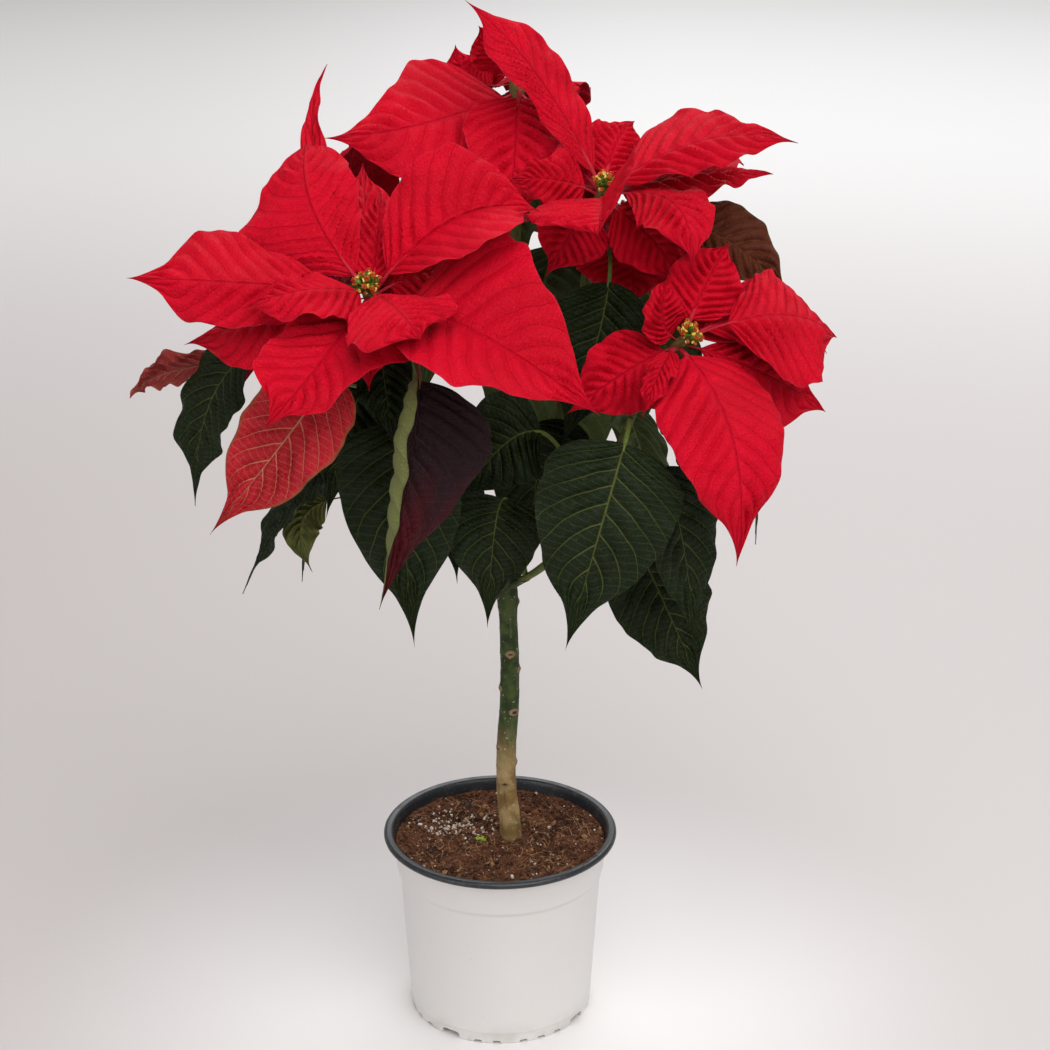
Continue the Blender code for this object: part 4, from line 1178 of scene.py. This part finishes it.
def cupLines(head):
    # foot, middle and rim of each cup, as the solid has them
    axis = facing(*head["axis"])
    hub = Vector(head["hub"]) + axis * gap
    right, upward = squareTo(axis)
    lines = []
    for i in range(cupSpec["cups"]):
        ring = cupSpec["rings"][0 if i == 0 else (1 if i < cupSpec["inner"] else 2)]
        angle = i * cupSpec["turn"]
        out = (right * math.cos(angle) + upward * math.sin(angle)) * ring
        foot = hub + axis * 1.2 + out * 0.35
        way = (axis * 8 + out * 0.9).normalized()
        lines.append((foot, foot + out * 0.55 + way * 2, foot + out * 0.65 + way * cupSpec["length"]))
    return hub, axis, right, upward, lines


def roughCups(head):
    hub, axis, right, upward, lines = cupLines(head)
    knobR, radius = stemSpec["knobR"], cupSpec["radius"]
    foot = [hub, hub + axis * cupSpec["pad"]]
    pieces = [roughBar(foot, [knobR * 0.7, knobR * 0.9], stemSpec["barSides"])]
    for line in lines:
        pieces.append(roughBar(list(line), [radius * 0.6, radius, radius * 0.75], cupSpec["sides"]))
    return pieces


def roughKnob(head):
    axis = facing(*head["axis"])
    hub = Vector(head["hub"])
    length, radius = stemSpec["knobLength"], stemSpec["knobR"]
    points = [hub - axis * length, hub - axis * length * 0.4, hub]
    return roughBar(points, [radius * 0.8, radius, radius * 0.7], stemSpec["barSides"])


def placeBlades():
    # the solids' own placing, repeated, so that each fine blade grows where its solid is
    placed, wanted = [], []
    for name, head in heads.items():
        head["path"] = stemPath(head, stemSpec["steps"])
        thick, thin = stemSpec["radii"]
        last = len(head["path"]) - 1
        radii = [thick + (thin - thick) / last * i for i in range(last + 1)]
        bars = [("stem_", roughBar(head["path"], radii, stemSpec["sides"])), ("bracts_", roughKnob(head))]
        for node, bar in bars + [("cyathia_", cup) for cup in roughCups(head)]:
            placed.append((node + name, BVHTree.FromBMesh(bar), None))
            bar.free()

    def want(name, shapes):
        for shape in shapes:
            if "knee" in shape:
                shape["root"] = onPath(heads[name]["path"], shape["at"])
                wanted.append(("stem_" + name, shape))
            else:
                wanted.append(("bracts_" + name, rooted(shape, heads[name])))

    # listed ones first, then by rule, and last the inner blades
    for kind in ("bracts", "leaves"):
        for name, head in heads.items():
            want(name, head.get(kind, ()))
    for rule in (ringBracts, skirtLeaves):
        for name, head in heads.items():
            want(name, rule(head))
    for name, shapes in innerBlades.items():
        want(name, shapes)
    blades = {}
    for node, shape in wanted:
        clear = bentClear(shape, node, placed)
        if clear:
            blades.setdefault(node, []).append(clear)
    print("blades placed:", sum(len(some) for some in blades.values()))
    return blades


def veinPhase(tau, v):
    across = abs(v)
    along = tau - veinSpec["rake"] * across - veinSpec["arch"] * across * across
    return along * veinSpec["count"] + (0.5 if v > 0 else 0.0)


def fineHalf(shape, tau, v, phase):
    # the outline with its tip drawn out and its margin slightly uneven
    start = shape.get("point", bladeSpec["tipFrom"])
    half = outlineHalf(shape, tau, v)
    if tau > start:
        share = (tau - start) / (1 - start)
        drawn = outlineHalf(shape, start, v) * (1 - share) ** 1.7
        ease = min(1.0, 2.2 * share)
        half += (min(half, drawn) - half) * ease
    nicks = 0.014 * math.sin(47 * tau + 2 * phase) * math.sin(9 * tau + 3 * phase)
    half *= 1 + 0.022 * math.sin(21 * tau + phase) + nicks
    slim = bladeSpec["thread"] * min(1.0, (1 - tau) * 30)
    return max(half, slim, 1.1 * (1 - 12 * tau))


def fineLift(shape, tau, v, half, number, phases):
    # the fold's angle, the height of a point of the blade over its flat form, and how rumpled it is there
    spec = bladeSpec
    edge, swell = abs(v), math.sin(math.pi * tau)
    fold, waves = bent(shape, tau, v)

    def rough(alongScale, acrossScale, seed):
        return noise.noise(Vector((tau * alongScale, v * acrossScale, number * seed)))

    rumple = rough(3.1, 2.2, 3.7)
    softEdge = math.sqrt(edge * edge + 0.0016) - 0.04
    lift = half * softEdge * math.sin(fold) + shape["cup"] * half * v * v
    lift += waves
    ruffles = math.sin(2 * math.pi * spec["ruffles"] * tau + phases[2 if v < 0 else 3])
    lift += spec["ruffle"] * edge**4 * swell * ruffles
    lift += spec["drift"] * edge * swell * rough(4, 1.4, 7.3)
    pillow = -math.cos(2 * math.pi * (veinPhase(tau, v) - 0.5)) * min(1.0, edge * 5) * (1 - 0.7 * edge * edge)
    ends = min(1.0, tau * 8, (1 - tau) * 6)
    lift += spec["quilt"] * (1 + 0.9 * rumple) * pillow * min(1.0, half / 14) * ends
    lift += spec["crease"] * rough(11, 3.5, 1.9) * min(1.0, edge * 3) * swell
    # a channel along the midrib
    lift -= 0.5 * bump(edge * half, 1.3) * swell
    return fold, lift, rumple


def addBlade(bm, shape, layers, number):
    spec = bladeSpec
    *colours, showsAbove, showsBelow, rim = skins[shape["skin"]]
    colours = [linear(*colour) for colour in colours]
    share, draw = shape["share"], random.Random(number)
    phases = [draw.uniform(0, math.tau) for _ in range(4)]
    tone = draw.uniform(0, 1)
    rows, columns = spec["fineRows"], spec["fineColumns"]
    old = set(bm.faces)
    ribs = []
    for row in range(rows + 1):
        # the rows lie closer together at both ends
        x = row / rows
        tau = 0.55 * x + 0.45 * (0.5 - 0.5 * math.cos(math.pi * x))
        ribs.append((tau, midrib(shape, share + (1 - share) * tau)))
    grid = bmesh.ops.create_grid(bm, x_segments=rows, y_segments=columns, size=1)["verts"]
    for vert in grid:
        tau, (point, side, normal) = ribs[round((vert.co.x + 1) / 2 * rows)]
        v = vert.co.y
        outward = edge = abs(v)
        half = fineHalf(shape, tau, v, phases[0 if v < 0 else 1])
        fold, lift, rumple = fineLift(shape, tau, v, half, number, phases)
        curved = edge > 0.01 and half > 1.5
        lean = math.atan(math.tan(fold) + 2 * shape["cup"] * edge) if curved else 0.0
        if "curl" in shape and v * shape["curl"][0] > shape["curl"][1]:
            # this side's margin is rolled over, so that its lower face shows
            start = shape["curl"][1]
            roll = (edge - start) / (1 - start) * spec["roll"]
            radius = (1 - start) / spec["roll"]
            outward = start + radius * math.sin(roll)
            lift += half * radius * (1 - math.cos(roll))
            lean += roll
        down = normal * math.cos(lean) - side * math.copysign(math.sin(lean), v)
        thick = spec["fineThick"] * (1 - 0.45 * edge)
        sideways = math.copysign(outward, v) * half * math.cos(fold)
        vert.co = point + side * sideways + normal * lift + down * thick / 2
        vert[layers["down"]] = down * thick
        for name, value in zip(colourLayers, colours):
            vert[layers[name]] = value
        if shape["skin"] == "plum":
            redder = min(1.0, max(0.0, 2.6 * tau - 1.3 + 0.5 * rumple)) * (1 - 0.6 * edge)
            vert[layers["upper"]] = Vector(colours[0]).lerp(plumTip, redder)
        for name, value in zip(measureLayers, (tau, v, 0.0, showsAbove, rim, tone)):
            vert[layers[name]] = value
    faces = list({face for vert in grid for face in vert.link_faces} - old)
    under = bmesh.ops.extrude_face_region(bm, geom=faces)["geom"]
    for vert in under:
        if isinstance(vert, bmesh.types.BMVert):
            vert.co -= vert[layers["down"]]
            vert[layers["under"]] = 1.0
            vert[layers["show"]] = showsBelow
    # the stalk runs on under the blade as its midrib
    spine = []
    for step in range(spec["stalkSteps"] + 1):
        t = step / spec["stalkSteps"] * (1 - 0.04 * (1 - share))
        point, side, normal = midrib(shape, t)
        tau = (t - share) / (1 - share)
        if tau <= 0:
            radius = spec["stalkR"] * (1.15 - 0.15 * t / share + 0.35 * math.exp(-t * 40))
            drop = 0.0
        else:
            radius = spec["ribR"] + (spec["stalkR"] - spec["ribR"]) * (1 - tau) ** 1.6
            drop = min(1.0, tau * 8) * (radius * 0.55 + 0.2)
        lowered = 0.5 * math.sin(math.pi * max(0.0, tau))
        spine.append((point - normal * (drop + lowered), radius))
    for vert in wrapTube(bm, spine, spec["stalkSides"], 1):
        vert[layers["under"]] = 1.0
        vert[layers["upper"]] = colours[-1]
        vert[layers["tone"]] = tone


def bladeLooks(name, gloss, shine, deep, net):
    # the blade's own look, and that of its stalk and midrib
    look = Look(name, gloss, shine)
    uv = look.node("ShaderNodeUVMap", {"uv_map": "blade"})
    tau, v = look.part(uv, "X"), look.part(uv, "Y") * 2 - 1
    across = abs(v)
    under, show, rim = look.stored("under"), look.stored("show"), look.stored("rim")
    drift = look.mottle(45, 2) - 0.5
    stride = tau - veinSpec["rake"] * across - veinSpec["arch"] * across * across + 0.035 * drift
    stride = stride * veinSpec["count"] + 0.5 * v.above(0)
    offVein = abs(stride.fraction() - 0.5)
    vein = 1 - offVein.rise(0, 0.08 - 0.045 * across)
    offSmall = abs((stride * 3.0 + across * 9.0).fraction() - 0.5)
    small = (1 - offSmall.rise(0, 0.14)) * (1 - vein)
    rib = 1 - across.rise(0, 0.042 - 0.024 * tau)
    mesh = 1 - look.cells(620, "DISTANCE_TO_EDGE").rise(0, 0.11)
    base = look.blend(under, look.stored("upper", "Color"), look.stored("lower", "Color"))
    patch = look.mottle(28)
    tone = look.stored("tone")
    base = look.blend(patch.rise(0.4, 0.7) * 0.35 + tone * 0.12, base, deep, "MULTIPLY")
    lines = (vein * (1 - 0.35 * across)).larger(rib).larger(small * 0.22).larger(mesh * net)
    colour = look.blend(lines * show, base, look.stored("veins", "Color"))
    border = (across + 0.05 * (look.mottle(90) - 0.5)).rise(rim, rim + 0.08)
    look.set("Base Color", look.blend(border * 0.6, colour, look.stored("edge", "Color")))
    look.set("Roughness", gloss + 0.12 * look.mottle(160, 2) + 0.08 * under)
    pillow = offVein.rise(0, 0.34) * (1 - 0.5 * across) * across.rise(0, 0.12)
    sunk = pillow * 0.9 - (vein * 0.4).larger(rib) - mesh * 0.2 - small * 0.14
    crinkle = look.mottle(150, 3, 0.6) * 1.3 + 0.1 * look.mottle(600)
    look.relief(sunk * (1 - 2 * under) + crinkle, 0.8, 0.0013)
    stalk = Look(name + " stalk", 0.55, shine)
    streak = stalk.mottle(500)
    colour = stalk.blend(streak.rise(0.45, 0.7) * 0.5, stalk.stored("upper", "Color"), deep, "MULTIPLY")
    stalk.set("Base Color", colour)
    stalk.relief(streak, 0.3, 0.0004)
    return look, stalk


# what each vertex of a blade stores for the looks
colourLayers = ("upper", "lower", "veins", "edge")
measureLayers = ("along", "across", "under", "show", "rim", "tone")


def bladeMesh():
    bm = bmesh.new()
    layers = {"down": bm.verts.layers.float_vector.new("down")}
    for name in measureLayers:
        layers[name] = bm.verts.layers.float.new(name)
    for name in colourLayers:
        layers[name] = bm.verts.layers.float_color.new(name)
    layers["uv"] = bm.loops.layers.uv.new("blade")
    return bm, layers


def layOut(bm, layers):
    # the UV map: x along the blade, y across it
    for face in bm.faces:
        for corner in face.loops:
            vert = corner.vert
            corner[layers["uv"]].uv = (vert[layers["along"]], 0.5 + 0.5 * vert[layers["across"]])
    for name in ("along", "across"):
        bm.verts.layers.float.remove(bm.verts.layers.float[name])
    bm.verts.layers.float_vector.remove(bm.verts.layers.float_vector["down"])


def fineStem(head, grown):
    # the stem, a little thicker where each leaf grows
    thick, thin = stemSpec["radii"]
    path = stemPath(head, stemSpec["fineSteps"])
    spine = []
    for i, point in enumerate(path):
        share = i / (len(path) - 1)
        swell = max([0.0] + [bump(share - shape["at"], 0.03) for shape in grown])
        spine.append((point, thick + (thin - thick) * share + 0.45 * swell))
    return spine


def fineKnob(head):
    axis, hub = facing(*head["axis"]), Vector(head["hub"])
    length, radius = stemSpec["knobLength"], stemSpec["knobR"]
    spine = []
    for step in range(stemSpec["knobSteps"] + 1):
        share = step / stemSpec["knobSteps"]
        wide = 0.8 + 0.25 * math.sin(math.pi * share) - 0.08 * share
        spine.append((hub - axis * length * (1 - share), radius * wide))
    return spine


def makeFoliage(blades):
    green = bladeLooks("leaf green", 0.42, 0.16, (170, 180, 160), 0.16)
    red = bladeLooks("bract red", 0.6, 0.14, (204, 160, 170), 0.1)
    number = 0
    for name, head in heads.items():
        grown = blades.get("stem_" + name, [])
        leaves = [shape for shape in grown if shape["skin"] != "bract"]
        bracts = blades.get("bracts_" + name, []) + [shape for shape in grown if shape["skin"] == "bract"]
        pieces = (
            ("leaves_", "stem_", "leaf", green, fineStem(head, grown), "fineSides", "skin", leaves),
            ("redBracts_", "bracts_", "bract", red, fineKnob(head), "knobSides", "knobSkin", bracts),
        )
        for piece, node, slot, looks, spine, sides, skin, shapes in pieces:
            bm, layers = bladeMesh()
            for vert in wrapTube(bm, spine, stemSpec[sides], 1):
                vert[layers["upper"]] = linear(*stemSpec[skin])
            for shape in shapes:
                number += 1
                addBlade(bm, shape, layers, number)
            layOut(bm, layers)
            finishPiece(piece + name, bm, looks, 50, node + name)
        print("foliage done:", name)


def cupLooks():
    cup = (46, 72, 16), (120, 142, 42)
    gland = (222, 190, 48), (234, 216, 118)
    stamen = (186, 20, 26), (226, 150, 40)
    return (
        flecked("cyathium cup", 0.4, 0.5, (420,), (0.35, 0.65), cup, (1500,), (0.3, 0.0003)),
        flecked("nectar gland", 0.25, 0.6, (700, 2), None, gland, (1500, 2), (0.2, 0.0002)),
        flecked("stamens", 0.5, 0.4, (900, 2), (0.45, 0.6), stamen, (2200, 2), (0.3, 0.0002)),
    )


def cupMesh(sides, draw):
    # one cup standing on the origin: urn, lobed rim, a gland on its side and stamens in its mouth
    profile = (
        (0, 0), (0.8, 0), (1.0, 0.8), (1.45, 2.0), (1.75, 3.2), (1.65, 4.5), (1.4, 5.5), (1.6, 6.0),
        (1.45, 6.4), (1.0, 5.9), (0, 5.5)
    )
    bm = spun(profile, sides)
    for vert in bm.verts:
        if vert.co.z > 5.7:
            angle = math.atan2(vert.co.y, vert.co.x)
            vert.co.z += 0.28 * math.cos(5 * angle)
            vert.co.xy *= 1 + 0.09 * math.cos(5 * angle)
    paint([face for face in bm.faces if face.calc_center_median().z > 5.75], 2)
    old = set(bm.faces)
    lip = bmesh.ops.create_uvsphere(bm, u_segments=12, v_segments=8, radius=1.0)["verts"]
    for vert in lip:
        if vert.co.x > 0.3:
            vert.co.x = 0.3 - 0.55 * (vert.co.x - 0.3)
    bmesh.ops.scale(bm, vec=(1.15, 1.5, 1.15), verts=lip)
    bmesh.ops.translate(bm, verts=lip, vec=(2.1, 0, 4.9))
    paint(set(bm.faces) - old, 1)
    for i in range(cupSpec["stamens"]):
        angle = i * math.tau / cupSpec["stamens"] + 0.4
        height = cupSpec["stamenTop"] + draw.uniform(*cupSpec["stamenSpread"])
        ring = cupSpec["stamenRing"]
        top = Vector((math.cos(angle) * ring, math.sin(angle) * ring, height))
        wrapTube(bm, [(Vector((top.x * 0.5, top.y * 0.5, 5.5)), 0.2), (top, 0.18)], 5, 2)
        old = set(bm.faces)
        matrix = Matrix.Translation(top)
        bmesh.ops.create_icosphere(bm, subdivisions=1, radius=cupSpec["anther"], matrix=matrix)
        paint(set(bm.faces) - old, 2)
    bmesh.ops.recalc_face_normals(bm, faces=bm.faces)
    return meshFrom("cup", bm)


def makeCyathia():
    looks = cupLooks()
    draw = random.Random(cupSpec["seed"])
    cup = cupMesh(cupSpec["fineSides"], draw)
    for name, head in heads.items():
        hub, axis, right, upward, lines = cupLines(head)
        bm = bmesh.new()
        pad, knobR = cupSpec["pad"], stemSpec["knobR"]
        spine = [(hub + axis * pad * share, knobR * (0.7 + 0.25 * share)) for share in (0, 0.35, 0.7, 1)]
        wrapTube(bm, spine, cupSpec["padSides"])
        spots = [(foot, (rim - foot).normalized(), 1.0) for foot, _, rim in lines]
        for i in range(cupSpec["buds"]):
            angle = i * cupSpec["budTurn"] + 0.5
            out = (right * math.cos(angle) + upward * math.sin(angle)) * cupSpec["budRing"]
            foot = hub + axis * 0.4 + out * 0.55
            spots.append((foot, (axis * 5 + out).normalized(), draw.uniform(*cupSpec["budSizes"])))
        for foot, way, size in spots:
            old = set(bm.verts)
            bm.from_mesh(cup)
            new = [vert for vert in bm.verts if vert not in old]
            turn = way.to_track_quat("Z", "Y") @ Quaternion(up, draw.uniform(0, math.tau))
            matrix = Matrix.Translation(foot) @ turn.to_matrix().to_4x4() @ Matrix.Scale(size, 4)
            bmesh.ops.transform(bm, matrix=matrix, verts=new)
        finishPiece("cups_" + name, bm, looks, 60, "cyathia_" + name)
    bpy.data.meshes.remove(cup)
    print("cyathia done")


makeCamera()
makeLights()
makeFloor()
makePot()
makeSoil()
makeTrunk()
makeFoliage(placeBlades())
makeCyathia()
